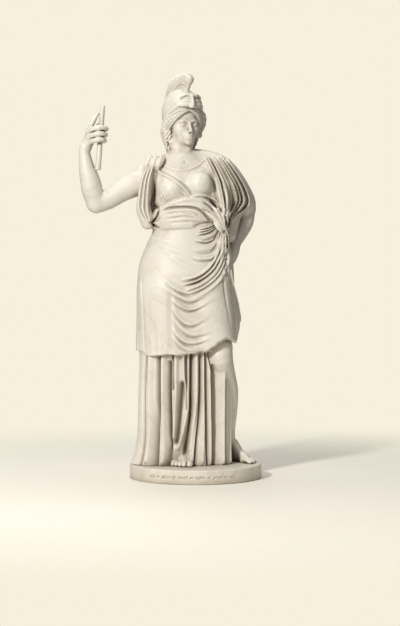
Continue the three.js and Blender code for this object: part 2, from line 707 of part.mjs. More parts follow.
// Height of the apron's hem, by x.
const HEM = [
  [-330, 636], [-258, 642], [-241, 632], [-189, 634], [-131, 641], [-66, 634], [-15, 632],
  [37, 646], [89, 674], [120, 696], [152, 712], [205, 690], [240, 700],
];
const hemAt = (x) => {
  const i = clamp(HEM.findIndex((p) => p[0] >= x), 1, HEM.length - 1);
  const t = clamp((x - HEM[i - 1][0]) / (HEM[i][0] - HEM[i - 1][0]), 0, 1);
  return mix(HEM[i - 1][1], HEM[i][1], smoothStep(0, 1, t));
};
const aboveHem = (form) => ({
  box: form.box,
  at: (x, y, z) => smoothMax(form.at(x, y, z), hemAt(x) - z, 5),
});
{
  const ridge = (points, width, height, a, b) => apronFolds.stroke(
    ontoLoft(apron, points), width, height, a, b,
  );
  const hollow = (points, width, depth, a, b) => apronFolds.stroke(
    ontoLoft(apron, points), width, -depth, a, b,
  );
  // Swags that leave the knot on the left hip and sweep across the thighs.
  const swagTop = [[112, 1230], [112, 1165], [94, 1104], [52, 1048], [0, 1014], [-66, 1000]];
  const swagLow = [[140, 1200], [158, 1110], [141, 1048], [104, 990], [34, 932], [-50, 896]];
  const onto = (points) => ontoLoft(apron, points);
  pleats(apronFolds, onto(swagTop), onto(swagLow), {
    count: 4, width: 15, height: 15, depth: 16, start: 0.08, end: 0.25,
  });
  // Small folds that are pulled sideways from the knot.
  const smallTop = [[108, 1250], [86, 1222], [50, 1210], [4, 1216]];
  const smallLow = [[100, 1120], [78, 1086], [22, 1082], [-46, 1106]];
  pleats(apronFolds, onto(smallTop), onto(smallLow), {
    count: 4, width: 13, height: 9, depth: 12, start: 0.1, end: 0.5, wander: 0.3, ragged: 0.8,
  });
  // Cloth that falls from the knot down her left side.
  const fallFront = [[118, 1250], [128, 1160], [134, 1060], [132, 1000]];
  const fallBack = [[158, 1240], [164, 1150], [170, 1060], [168, 1000]];
  pleats(apronFolds, onto(fallFront), onto(fallBack), {
    count: 3, width: 12, height: 9, depth: 12, start: 0.1,
  });
  // Swags that hang between the thighs.
  const hung = [
    [[-146, 1000], [-111, 964], [-56, 938], [-8, 942], [44, 980]],
    [[-134, 958], [-82, 918], [-30, 897], [18, 911], [84, 960]],
    [[-121, 908], [-81, 872], [-30, 852], [34, 872], [90, 924]],
    [[-118, 872], [-92, 822], [-42, 781], [16, 788], [74, 836]],
    [[-112, 822], [-76, 766], [-24, 730], [40, 736], [92, 772]],
    [[-116, 776], [-87, 720], [-40, 688], [28, 694], [78, 722]],
    [[-112, 728], [-78, 680], [-30, 652], [30, 656]],
  ];
  hung.forEach((line, k) => {
    const broad = 14 + 3 * sin(2.1 * k);
    ridge(line, broad, 9 + 3 * sin(1.3 * k), 0.3, 0.6);
    hollow(line.map(([x, z]) => [x, z - broad - 2]), broad, 11, 0.2, 0.6);
  });
  // The cloth lies close over the right thigh and gathers at the outer side.
  hollow([[-116, 960], [-120, 800], [-114, 655]], 20, 10, 0.2, 0.1);
  hollow([[-266, 1010], [-260, 900], [-254, 780], [-247, 640]], 13, 20, 0.3, 0.05);
  hollow([[-222, 900], [-216, 780], [-190, 690]], 14, 8, 0.4, 0.3);
  hollow([[-290, 1080], [-296, 860], [-290, 640]], 12, 14, 0.2, 0.05);
  hollow([[-190, 800], [-196, 740], [-180, 640]], 18, 8, 0.3, 0.05);
  for (let k = 0; k < 4; k++) {
    const fold = [
      [-226 + 30 * k, 1226 - 34 * k], [-170 + 30 * k, 1196 - 37 * k], [-104 + 30 * k, 1188 - 44 * k],
    ];
    ridge(fold, 15, 5, 0.4, 0.6);
  }
  // The front of the left thigh ends in a fold, and the cloth beyond it turns to the side.
  hollow([[128, 1030], [134, 960], [140, 860], [150, 760], [158, 705]], 14, 18, 0.2, 0.05);
  hollow([[176, 1000], [180, 900], [192, 800], [196, 700]], 15, 16, 0.15, 0.05);
  ridge([[160, 1090], [184, 975], [208, 880], [222, 780]], 12, 11, 0.15, 0.1);
  // Back and sides.
  for (let n = 0; n < 9; n++) {
    const u = (118 + 17 * n) * DEG * DRUM;
    const wrap = (v) => (v > PI * DRUM ? v - 2 * PI * DRUM : v);
    const top = wrap(u);
    apronFolds.stroke(
      [[top, 1240], [top + 22 * sin(n), 980], [top - 10 * sin(n * 1.9), 600]], 24,
      -22 - 5 * cos(n * 2.3), 0.3, 0.02,
    );
  }
}

// The trunk under the bodice.
const trunk = loft(
  [
    [1140, -204, 134, -126, 124],
    [1260, -188, 112, -117, 115],
    [1340, -200, 120, -126, 120],
    [1420, -220, 124, -132, 122],
    [1500, -234, 124, -118, 112],
    [1560, -224, 108, -84, 92],
    [1610, -155, 30, -64, 72],
    [1650, -130, 0, -60, 62],
  ],
  2.2,
);

const COLLAR = 1640; // the trunk ends here, and the neck rises from it
const capped = (form, top) => ({
  box: form.box,
  at: (x, y, z) => smoothMax(form.at(x, y, z), z - top, 30),
});

// Folds of the bodice and of the mantle, drawn from the front in x and z.
const frontFolds = new Relief(-330, 350, 1140, 1680, 4);
{
  const ridge = (points, width, height, a, b) => frontFolds.stroke(points, width, height, a, b);
  const hollow = (points, width, depth, a, b) => frontFolds.stroke(points, width, -depth, a, b);
  // The bodice crosses the breast in one long edge.
  const edge = [[-212, 1573], [-182, 1538], [-147, 1518], [-96, 1487], [-56, 1452], [-25, 1411]];
  ridge(edge, 12, 12, 0.05, 0.1);
  for (let n = 1; n < 4; n++) {
    const pulled = [
      [-118 + 6 * n, 1488 - 12 * n], [-84 + 6 * n, 1456 - 9 * n], [-54 + 8 * n, 1416 - 3 * n],
    ];
    ridge(pulled, 10, 6, 0.5, 0.1);
  }
  ridge([[-162, 1578], [-131, 1558], [-76, 1547], [-30, 1550], [15, 1572], [45, 1605]], 9, 8, 0.05, 0.05);
  ridge([[-45, 1402], [5, 1416], [60, 1412], [106, 1388], [132, 1350]], 14, 14, 0.25, 0.1);
  hollow([[-192, 1556], [-204, 1500], [-206, 1420], [-222, 1376]], 15, 22, 0.25, 0.1);
  // Long folds of the cloth that hangs from the right shoulder.
  const hangLeft = [[-240, 1566], [-266, 1500], [-280, 1420], [-284, 1350], [-246, 1280]];
  const hangRight = [[-214, 1572], [-232, 1500], [-240, 1420], [-240, 1340], [-224, 1280]];
  for (let n = 0; n < 3; n++) ridge(between(hangLeft, hangRight, n / 2), 11, 8, 0.1, 0.1);
  // Pleats of the mantle run from the shoulder to the knot.
  const inner = [[46, 1618], [74, 1556], [98, 1490], [116, 1410], [146, 1316]];
  const outer = [[152, 1608], [214, 1520], [258, 1440], [264, 1376], [180, 1306]];
  pleats(frontFolds, inner, outer, {
    count: 7, width: 14, height: 11, depth: 14, start: 0.12, end: 0.05, wander: 0.22,
  });
  for (let k = 0; k < 3; k++) {
    ridge([[186, 1300 + 8 * k], [222, 1336 + 12 * k], [272 - 6 * k, 1376 + 16 * k]], 11, 9, 0.1, 0.4);
  }
  // A deep hollow opens between the breast and the mantle.
  hollow([[82, 1530], [100, 1470], [118, 1390], [134, 1320]], 24, 26, 0.3, 0.2);
  // Folds spread again below the knot.
  for (let k = 0; k < 3; k++) {
    ridge([[130 + 10 * k, 1250], [116 + 26 * k, 1208], [110 + 30 * k, 1156]], 12, 8, 0.1, 0.1);
  }
  // The sash: long soft folds that gather at the knot.
  ridge([[-178, 1352], [-150, 1368], [-96, 1388], [-20, 1402], [50, 1392]], 17, 8, 0.3, 0.3);
  hollow([[-170, 1340], [-110, 1356], [-20, 1356], [26, 1340], [60, 1306], [86, 1276]], 13, 17, 0.25, 0.12);
  hollow([[-150, 1300], [-60, 1312], [-4, 1308]], 13, 7, 0.25, 0.12);
  hollow([[35, 1384], [76, 1356], [108, 1314], [130, 1262]], 12, 13, 0.25, 0.12);
  hollow([[96, 1390], [132, 1350], [150, 1300], [152, 1262]], 12, 12, 0.25, 0.12);
  hollow([[-4, 1266], [40, 1280], [80, 1284], [104, 1278]], 13, 18, 0.25, 0.12);
  hollow([[-182, 1351], [-190, 1318], [-206, 1296], [-228, 1280]], 13, 16, 0.25, 0.12);
  hollow([[-232, 1290], [-206, 1270], [-180, 1256]], 12, 14, 0.25, 0.12);
}
const draped = (form, strength = 1) => ({
  box: form.box.clone().expandByScalar(16),
  at(x, y, z) {
    const d = form.at(x, y, z);
    if (abs(d) > 60) return d;
    return d - strength * frontFolds.at(x, z) * (1 - smoothStep(-20, 60, y - max(0, x) * 0.35));
  },
});

// The sash that is rolled round the hips and knotted on her left.
const SASH = [
  [-180, 1300, 52], [-120, 1284, 48], [-88, 1298, 52], [-46, 1308, 64], [-27, 1321, 74], [-3, 1331, 82],
  [20, 1341, 74], [37, 1334, 66], [52, 1308, 58], [69, 1286, 52], [120, 1280, 46], [180, 1300, 52],
];
const sashAt = (turn, n) => {
  const i = clamp(SASH.findIndex((p) => p[0] >= turn), 1, SASH.length - 1);
  const [a, b] = [SASH[i - 1], SASH[i]];
  return mix(a[n], b[n], smoothStep(0, 1, (turn - a[0]) / (b[0] - a[0])));
};
const sashFolds = new Relief(-PI * DRUM, PI * DRUM, -100, 100, 4);
for (let n = 0; n < 5; n++) {
  const s = -0.8 + 0.4 * n;
  const line = [];
  for (let turn = 86; turn <= 274; turn += 17) {
    const up = 52 * s * (0.9 + 0.25 * sin(turn * 0.05 + n)) + 7 * sin(turn * 0.11 + 2 * n);
    line.push([turn * DEG * DRUM, up]);
  }
  sashFolds.stroke(line, 13, -12, 0.1, 0.02);
  sashFolds.stroke(line.map(([u, v]) => [u - 2 * PI * DRUM, v]), 13, -12, 0.02, 0.1);
}
const sashCore = loft(
  [
    [1140, -252, 176, -150, 148], [1240, -226, 168, -146, 142], [1340, -216, 150, -148, 138],
    [1450, -218, 140, -148, 136],
  ],
  2.2,
);
const sash = {
  box: sashCore.box,
  at(x, y, z) {
    const d = sashCore.at(x, y, z);
    if (d > 60) return d;
    const turn = sashCore.turn(x, y, z);
    const half = sashAt(turn, 2);
    const up = z - sashAt(turn, 1);
    const bulge = 18 * (1 - clamp(up / half, -1, 1) ** 2) - 8;
    const front = frontFolds.at(x, z) * (1 - smoothStep(-40, 20, y));
    return smoothMax(
      d - bulge - sashFolds.at(turn * DEG * DRUM, (up / half) * 55) - front,
      abs(up) - half,
      16,
    );
  },
};

// Everything that belongs to the head is made straight and then turned. Its z is 0 under the chin.
const headPlace = new THREE.Matrix4()
  .makeTranslation(-66, -4, EYE_HEIGHT - 100)
  .multiply(new THREE.Matrix4().makeRotationZ(HEAD_TURN * DEG));

const headForms = new Carving();
{
  const head = (form, blend) => headForms.join(placed(headPlace, form), blend);
  const dig = (form, blend) => headForms.cut(placed(headPlace, form), blend);
  const side = (make) => [-1, 1].forEach(make);
  head(ellipsoid([0, 6, 150], [74, 96, 86]));
  head(ellipsoid([0, -24, 92], [60, 66, 88]), 24);
  head(ellipsoid([0, -52, 40], [40, 40, 38]), 24);
  head(ellipsoid([0, -80, 14], [19, 15, 15]), 16);
  side((s) => head(ellipsoid([s * 38, -54, 80], [24, 28, 28]), 22));
  side((s) => dig(ellipsoid([s * 31, -99, 101], [21, 17, 13]), 14));
  side((s) => head(ellipsoid([s * 30, -75, 100], [16, 13, 12]), 4));
  side((s) => head(tube([[s * 10, -92, 113, 6], [s * 28, -91, 120, 6], [s * 48, -79, 115, 6]]), 9));
  head(tube([[0, -91, 114, 8], [0, -101, 86, 8], [0, -110, 67, 9]]), 9);
  side((s) => head(ellipsoid([s * 10.5, -99, 61], [6, 9, 7]), 6));
  head(ellipsoid([0, -87, 38], [27, 15, 20]), 12);
  head(tube([[-18, -94, 41, 3], [-6, -102, 43, 4.5], [6, -102, 43, 4.5], [18, -94, 41, 3]]), 4);
  head(tube([[-17, -93, 34, 3], [0, -99, 32, 5.5], [17, -93, 34, 3]]), 4);
  // Neck
  headForms.join(tube([[-68, 18, 1580, 70], [-71, 12, 1640, 58], [-69, 12, 1730, 57]]), 24);
  side(
    (s) => headForms.join(
      tube([[-66 + s * 50, 20, 1748, 14], [-66 + s * 42, -14, 1690, 13], [-66 + s * 16, -38, 1620, 11]]),
      22,
    ),
  );
  // Hair: rolls under the helmet's edge from the parting to the ears, and ringlets by the neck
  side((s) => {
    head(
      tube([
        [s * 2, -93, 181, 10], [s * 24, -90, 179, 14], [s * 46, -78, 169, 17], [s * 64, -54, 153, 19],
        [s * 77, -20, 132, 20], [s * 81, 14, 112, 20],
      ]),
      3,
    );
    head(
      tube([
        [s * 3, -95, 171, 7], [s * 26, -92, 164, 10], [s * 50, -76, 148, 14], [s * 66, -50, 126, 16],
        [s * 77, -14, 102, 17], [s * 79, 16, 82, 17],
      ]),
      3,
    );
    head(tube([[s * 72, 0, 112, 18], [s * 72, 30, 84, 22], [s * 62, 52, 40, 22], [s * 54, 56, -8, 16]]), 8);
    for (let k = 0; k < 3; k++) {
      const top = [s * (90 - 7 * k), 2 + 24 * k, 108];
      const end = [s * (64 - 9 * k), 34 + 18 * k, -22 - 6 * k];
      const lock = [];
      for (let m = 0; m < 6; m++) {
        const t = m / 5;
        const swell = 6 * sin(2.2 * m + 1.9 * k);
        const x = mix(top[0], end[0], t * t) + s * swell * 0.5;
        lock.push([x, mix(top[1], end[1], t) + swell, mix(top[2], end[2], t), 14 - 8 * t * t]);
      }
      head(tube(lock, 15), 3);
    }
    head(ellipsoid([s * 74, -2, 100], [9, 13, 19]), 4);
  });
  head(
    tube([[-72, -10, 104, 10], [-75, 0, 76, 12], [-69, 8, 46, 12], [-60, 14, 16, 10], [-56, 20, -8, 6]]),
    3,
  );
  head(tube([[64, -34, 128, 8], [75, -26, 104, 9], [76, -14, 80, 10], [68, 0, 56, 8], [62, 10, 34, 6]]), 3);
  // The nape: a row of locks
  head(ellipsoid([0, 70, 60], [68, 40, 74]), 20);
  for (let k = 0; k < 8; k++) {
    const x = -70 + 20 * k;
    const bend = 6 * sin(2.4 * k);
    head(
      tube([
        [x, 96 - 0.3 * abs(x), 112, 14],
        [x + bend, 108 - 0.35 * abs(x), 74, 16],
        [0.86 * x - bend, 104 - 0.3 * abs(x), 34, 15],
        [0.7 * x + bend, 92 - 0.2 * abs(x), -4, 12],
        [0.6 * x, 80 - 0.2 * abs(x), -32, 6],
      ]),
      4,
    );
  }
  // A fuller roll of hair on her left, ending in curls
  head(
    tube([
      [66, -58, 168, 14], [90, -34, 154, 19], [106, -4, 132, 20], [110, 18, 104, 19],
      [100, 30, 76, 14],
    ]),
    4,
  );
  for (let k = 0; k < 3; k++) head(ball([113 - 5 * k, 10 + 6 * k, 112 - 24 * k], 19), 4);
}

// The helmet is pushed back on the head: a bowl with a raised mask over the forehead.
const HELMET_EDGE = [[-140, 190], [-96, 188], [-60, 168], [0, 128], [60, 98], [140, 84]];
const edgeAt = (y) => {
  const i = clamp(HELMET_EDGE.findIndex((p) => p[0] >= y), 1, HELMET_EDGE.length - 1);
  const [a, b] = [HELMET_EDGE[i - 1], HELMET_EDGE[i]];
  return mix(a[1], b[1], clamp((y - a[0]) / (b[0] - a[0]), 0, 1));
};
const helmetForms = new Carving();
{
  const bowl = ellipsoid([0, 12, 166], [98, 122, 122]);
  const mask = ellipsoid([0, -66, 206], [72, 62, 52]);
  const shell = {
    box: bowl.box.clone().union(mask.box),
    at: (x, y, z) => smoothMax(smoothMin(bowl.at(x, y, z), mask.at(x, y, z), 26), edgeAt(y) - z, 6),
  };
  const rim = { box: shell.box, at: (x, y, z) => smoothMax(shell.at(x, y, z) - 5, z - edgeAt(y) - 12, 5) };
  helmetForms.join(placed(headPlace, shell));
  helmetForms.join(placed(headPlace, rim), 4);
  const fit = (form, blend) => helmetForms.join(placed(headPlace, form), blend);
  fit(tube([[0, -124, 244, 6], [0, -132, 222, 7], [0, -138, 200, 9], [0, -136, 186, 10]]), 9);
  for (const s of [-1, 1]) {
    fit(ball([s * 9, -127, 184], 7), 6);
    fit(tube([[s * 8, -126, 236, 4], [s * 30, -121, 243, 5], [s * 56, -103, 232, 3]]), 10);
    for (const deep of [0, 8]) {
      helmetForms.cut(
        placed(
          headPlace,
          tube([[s * 17, deep - 133, 223, 5], [s * 33, deep - 127, 229, 8], [s * 52, deep - 112, 219, 5]]),
        ),
        3,
      );
    }
    fit(tube([[s * 94, -2, 128, 7], [s * 97, -14, 112, 6], [s * 94, -28, 108, 4]]), 4);
  }
  // The crest stands on the bowl from over the forehead to the nape.
  const crest = {
    box: new THREE.Box3(new THREE.Vector3(-30, -190, -60), new THREE.Vector3(30, 250, 390)),
    at(x, y, z) {
      const radius = hypot(y - 6, z - 172);
      const angle = atan2(z - 172, -(y - 6)) / DEG;
      const around = angle < -90 ? angle + 360 : angle;
      const low = mix(203, 195, smoothStep(50, 88, around));
      const outer = low + 34 * smoothStep(95, 146, around) - 78 * smoothStep(150, 206, around);
      const half = mix(11, 19, smoothStep(128, 200, radius));
      const plate = smoothMax(abs(x) - half, smoothMax(radius - outer, 60 - radius, 8), 22);
      const start = (50 - around) * DEG * radius;
      const end = (around - 206) * DEG * radius;
      return smoothMax(plate, smoothMax(start, end, 6), 16);
    },
  };
  helmetForms.join(placed(headPlace, crest), 5);
}

// Arms
const rightArm = tube([
  [-205, 15, 1530, 64],
  [-265, 5, 1500, 66],
  [-323, -8, 1470, 59],
  [-380, -20, 1438, 52],
  [-440, -28, 1402, 50],
  [-498, -35, 1381, 48],
]);
const rightForearm = tube([
  [-500, -38, 1384, 48],
  [-520, -50, 1452, 53],
  [-530, -55, 1502, 49],
  [-544, -60, 1553, 40],
  [-556, -62, 1634, 28],
  [-552, -62, 1660, 29],
]);
// A short plain rod: it leans a little, and its two ends are flat.
const ROD = { low: 1546, high: 1868, xLow: -488, xHigh: -463.5, y: -78, rLow: 14.5, rHigh: 12.5 };
const rod = {
  box: new THREE.Box3(new THREE.Vector3(-505, -95, 1540), new THREE.Vector3(-446, -60, 1874)),
  at(x, y, z) {
    const along = (z - ROD.low) / (ROD.high - ROD.low);
    const side = hypot(x - mix(ROD.xLow, ROD.xHigh, along), y - ROD.y) - mix(ROD.rLow, ROD.rHigh, along);
    return smoothMax(side, abs(z - (ROD.low + ROD.high) / 2) - (ROD.high - ROD.low) / 2, 3);
  },
};
const rightHand = new Carving();
{
  rightHand.join(
    tube([[-553, -60, 1650, 27], [-540, -56, 1684, 29], [-526, -54, 1716, 29], [-520, -58, 1746, 22]]),
  );
  // Three fingers close round the rod, and the first finger and the thumb lie along it.
  [[1751, 14], [1721, 14.5], [1692, 13.5]].forEach(([z, r], n) => {
    const finger = [
      [-532 + 2 * n, -72, z - 9, r + 1.5],
      [-500, -106, z, r - 1],
      [-484, -112, z + 3, r + 0.8],
      [-449 - 4 * n, -90, z + 1, r - 0.8],
      [-456 - 4 * n, -60, z - 2, r - 4],
    ];
    rightHand.join(tube(finger), 2.5);
  });
  rightHand.join(
    tube([
      [-534, -74, 1738, 16], [-524, -86, 1764, 13], [-512, -91, 1786, 13.5], [-500, -89, 1808, 11],
      [-490, -84, 1826, 9],
    ]),
    4,
  );
  rightHand.join(
    tube([[-536, -44, 1690, 18], [-520, -34, 1722, 16], [-504, -38, 1748, 13.5], [-488, -50, 1772, 10]]),
    5,
  );
}
const shoulders = tube([
  [-250, 10, 1535, 54],
  [-150, 20, 1580, 52],
  [-66, 22, 1606, 50],
  [40, 25, 1594, 52],
  [130, 25, 1552, 56],
]);
const mantle = tube([
  [-20, 26, 1604, 54],
  [60, 22, 1588, 64],
  [125, 20, 1548, 74],
  [180, 42, 1480, 76],
  [232, 84, 1402, 70],
  [256, 116, 1366, 52],
]);
const curtain = tube([
  [70, -30, 1560, 44], [104, -50, 1480, 46], [122, -66, 1400, 44], [140, -92, 1310, 36],
]);
const leftArm = tube([
  [258, 118, 1352, 46],
  [250, 106, 1292, 45],
  [224, 78, 1232, 38],
  [200, 52, 1185, 31],
  [190, 30, 1140, 31],
  [180, 8, 1104, 26],
]);
// Cloth that hangs from the right shoulder, and the shadowed cloth behind it
const kolpos = tube([
  [-222, -36, 1580, 26], [-242, -50, 1502, 30], [-254, -50, 1420, 34], [-260, -46, 1350, 38],
  [-238, -60, 1286, 36],
]);
const behindKolpos = tube([
  [-206, 18, 1500, 30], [-214, 22, 1420, 32], [-214, 20, 1340, 32], [-204, 10, 1280, 30],
]);
// The mantle joins the waist behind the left arm.
const web = tube([[150, 20, 1470, 80], [178, 46, 1390, 72], [170, 30, 1310, 56], [160, 10, 1230, 46]]);
// The knot on the left hip: cloth drawn in, and let out again
const knot = tube([
  [112, -112, 1340, 30], [130, -114, 1290, 28], [138, -108, 1246, 19], [136, -96, 1200, 27],
  [138, -84, 1150, 26],
]);
// Folds of the sash sweep over one another into the knot, and two more fall from it.
const tucks = [
  tube([[52, -138, 1334, 7], [92, -132, 1304, 11], [120, -130, 1270, 11], [138, -114, 1238, 8]]),
  tube([[88, -124, 1356, 7], [118, -126, 1312, 11], [138, -124, 1272, 10], [146, -108, 1238, 8]]),
  tube([[92, -124, 1292, 7], [104, -134, 1268, 9], [122, -130, 1246, 9], [138, -114, 1234, 8]]),
  tube([[134, -112, 1232, 7], [124, -114, 1196, 10], [112, -114, 1150, 10], [92, -132, 1092, 7]]),
  tube([[142, -110, 1230, 7], [138, -116, 1190, 9], [132, -108, 1140, 9], [118, -116, 1080, 6]]),
];
const knotHollow = ellipsoid([146, -130, 1234], [11, 20, 13]);

// The whole figure
const figureCarving = new Carving();
figureCarving.join(skirt);
figureCarving.join(leftLeg, 6);
for (const [form, soft] of [...leftFoot, ...rightFoot]) figureCarving.join(form, soft);
{
  const upper = new Carving();
  upper.join(aboveHem(capped(apron, APRON_TOP)));
  upper.join(
    aboveHem(tube([[60, -52, 1000, 92], [90, -92, 820, 92], [122, -104, 660, 80], [128, -84, 560, 74]])),
    44,
  );
  upper.join(aboveHem(tube([[-150, -60, 940, 108], [-146, -82, 740, 98], [-140, -84, 560, 92]])), 50);
  figureCarving.add(upper, 3);
}
{
  const body = new Carving();
  body.join(draped(capped(trunk, COLLAR)));
  body.join(shoulders, 30);
  body.join(draped(ellipsoid([-116, -92, 1452], [66, 64, 64])), 22);
  body.join(draped(ellipsoid([22, -92, 1474], [66, 62, 62])), 22);
  body.join(draped(curtain), 18);
  body.join(draped(web), 20);
  body.join(draped(mantle), 16);
  body.join(behindKolpos, 14);
  body.join(draped(kolpos), 6);
  // Gathers on the right shoulder
  for (let k = 0; k < 3; k++) {
    const x = -240 + 30 * k;
    const gather = [[x - 12, -44 - 8 * k, 1554, 13], [x, -60 - 8 * k, 1582, 17], [x + 14, -24, 1606, 18]];
    body.join(tube([...gather, [x + 18, 36, 1598, 17]]), 4);
  }
  body.join(rightArm, 10);
  body.join(rightForearm, 10);
  body.join(leftArm, 10);
  figureCarving.add(body, 10);
}
figureCarving.join(sash, 5);
figureCarving.join(draped(knot, 0.9), 12);
for (const form of tucks) figureCarving.join(form, 5);
figureCarving.cut(knotHollow, 8);
figureCarving.add(rightHand, 8);
figureCarving.join(rod, 3);
figureCarving.add(headForms, 12);
figureCarving.add(helmetForms, 3);
// The stone rests flat on the plinth.
const underside = new THREE.Box3(new THREE.Vector3(-700, -400, 0), new THREE.Vector3(400, 400, 90));
figureCarving.each(underside, 0, (d, x, y, z) => max(d, BED - z));

const marble = new THREE.MeshStandardMaterial({ name: "marble", color: 0xe9e2d4, roughness: 0.5 });
const detailAt = (x, y, z) => {
  if (z > 1660 && abs(x + 66) < 190) return 7;
  if (x < -430 && z > 1600) return 4;
  if (z < 150 && (x > 150 || y < -120)) return 5;
  return 1;
};
const carved = lighten(largestBody(surfaceOf(figureCarving)), FIGURE_TRIANGLES, detailAt);
const place = carved.attributes.position;
for (let v = 0; v < place.count; v++) {
  if (place.getZ(v) < BED + 1.5) place.setZ(v, BED);
}
const figure = new THREE.Mesh(carved, marble);
figure.name = "figure";

// The plinth: a low round disc with softened rims.
const plinthProfile = [new THREE.Vector2(0, 0)];
for (const [cz, first] of [[PLINTH_EDGE, -90], [PLINTH_HEIGHT - PLINTH_EDGE, 0]]) {
  for (let s = 0; s <= 3; s++) {
    const angle = (first + 30 * s) * DEG;
    const radius = PLINTH_RADIUS - PLINTH_EDGE + PLINTH_EDGE * cos(angle);
    plinthProfile.push(new THREE.Vector2(radius, cz + PLINTH_EDGE * sin(angle)));
  }
}
plinthProfile.push(new THREE.Vector2(0, PLINTH_HEIGHT));
const disc = new THREE.LatheGeometry(plinthProfile, 60).rotateX(PI / 2);
const plinth = new THREE.Mesh(disc, marble.clone());
plinth.name = "plinth";

const model = new THREE.Group();
model.name = "helmeted_woman_statue";
model.add(figure, plinth);
export default model;
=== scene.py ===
# The dressed helmeted woman: the carved marble figure at full detail, on her plinth.
# Forms are worked out in millimetres on a grid, as in the part's source, and meshed from it.

import bpy
import bmesh
import math
import numpy as np
import openvdb
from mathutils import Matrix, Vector


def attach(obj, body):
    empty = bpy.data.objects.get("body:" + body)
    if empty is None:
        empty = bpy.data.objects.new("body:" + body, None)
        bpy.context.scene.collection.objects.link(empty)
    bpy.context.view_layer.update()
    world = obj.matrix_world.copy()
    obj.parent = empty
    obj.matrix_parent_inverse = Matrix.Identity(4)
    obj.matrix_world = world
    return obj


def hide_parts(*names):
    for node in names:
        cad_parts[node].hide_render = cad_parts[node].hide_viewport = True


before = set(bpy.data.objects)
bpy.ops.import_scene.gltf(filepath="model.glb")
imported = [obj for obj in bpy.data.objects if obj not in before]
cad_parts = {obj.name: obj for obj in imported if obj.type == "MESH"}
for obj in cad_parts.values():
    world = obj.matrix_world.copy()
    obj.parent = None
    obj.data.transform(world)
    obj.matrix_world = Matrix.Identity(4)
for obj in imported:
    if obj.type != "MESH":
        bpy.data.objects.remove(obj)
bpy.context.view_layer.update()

DEG = math.pi / 180
MM = 0.001
PLINTH_RADIUS = 333
PLINTH_HEIGHT = 70
EYE_HEIGHT = 1774
HEAD_TURN = 23  # degrees, towards her left
DRUM = 230  # radius at which folds that run round the body are drawn
SKIN = 60  # folds are worked out only this close to a surface
CELL = 3.2  # grid steps, plain and fine
FINE = 2.0
SHARPEST = 1.5 * CELL  # half width of the narrowest cut that the grid can hold
BODY_TRIANGLES = 195000


# Small maths
def mix(a, b, t):
    return a + (b - a) * t


def smooth_step(low, high, v):
    t = np.clip((v - low) / (high - low), 0, 1)
    return t * t * (3 - 2 * t)


def smooth_min(a, b, k):
    h = np.maximum(k - np.abs(a - b), 0)
    return np.minimum(a, b) - h * h / (4 * k)


def smooth_max(a, b, k):
    return -smooth_min(-a, -b, k)


def length(*parts):
    total = 0
    for p in parts:
        total = total + p * p
    return np.sqrt(total)


def curve_through(points, steps):
    pts = np.asarray(points, float)
    last = len(pts) - 1
    along = np.linspace(0, last, steps + 1)
    i = np.minimum(along.astype(int), last - 1)
    t = (along - i)[:, None]
    before, a, b, after = pts[np.maximum(i - 1, 0)], pts[i], pts[i + 1], pts[np.minimum(i + 2, last)]
    slope_a, slope_b, rise = (b - before) / 2, (after - a) / 2, b - a
    return a + t * (slope_a + t * (3 * rise - 2 * slope_a - slope_b + t * (slope_a + slope_b - 2 * rise)))
def smooth_line(points, steps):
    """A curve through the points, or the straight line between two."""
    return curve_through(points, steps) if len(points) > 2 else np.asarray(points, float)


def eased(table, places):
    """Read the columns of a table at some places, easing from each row to the next."""
    i = np.clip(np.searchsorted(table[:, 0], places), 1, len(table) - 1)
    t = smooth_step(0, 1, (places - table[i - 1, 0]) / (table[i, 0] - table[i - 1, 0]))
    return [mix(table[i - 1, c], table[i, c], t) for c in range(1, table.shape[1])]

# Forms: a box, and a distance for broadcast coordinates
class Form:
    def __init__(self, low, high, at):
        self.low = np.array(low, float)
        self.high = np.array(high, float)
        self.at = at


def around(points, reach):
    pts = np.asarray(points, float)[:, :3]
    return pts.min(0) - reach, pts.max(0) + reach


def limb_distance(x, y, z, a, b):
    dx, dy, dz = b[0] - a[0], b[1] - a[1], b[2] - a[2]
    reach = (x - a[0]) * dx + (y - a[1]) * dy + (z - a[2]) * dz
    t = np.clip(reach / (dx * dx + dy * dy + dz * dz + 1e-9), 0, 1)
    return length(x - a[0] - t * dx, y - a[1] - t * dy, z - a[2] - t * dz) - (a[3] + (b[3] - a[3]) * t)


def tube(points, steps=None):
    line = smooth_line(points, steps or (len(points) - 1) * 3)
    low, high = around(line, line[:, 3].max())

    def at(x, y, z):
        best = None
        for a, b in zip(line[:-1], line[1:]):
            d = limb_distance(x, y, z, a, b)
            best = d if best is None else np.minimum(best, d)
        return best

    return Form(low, high, at)


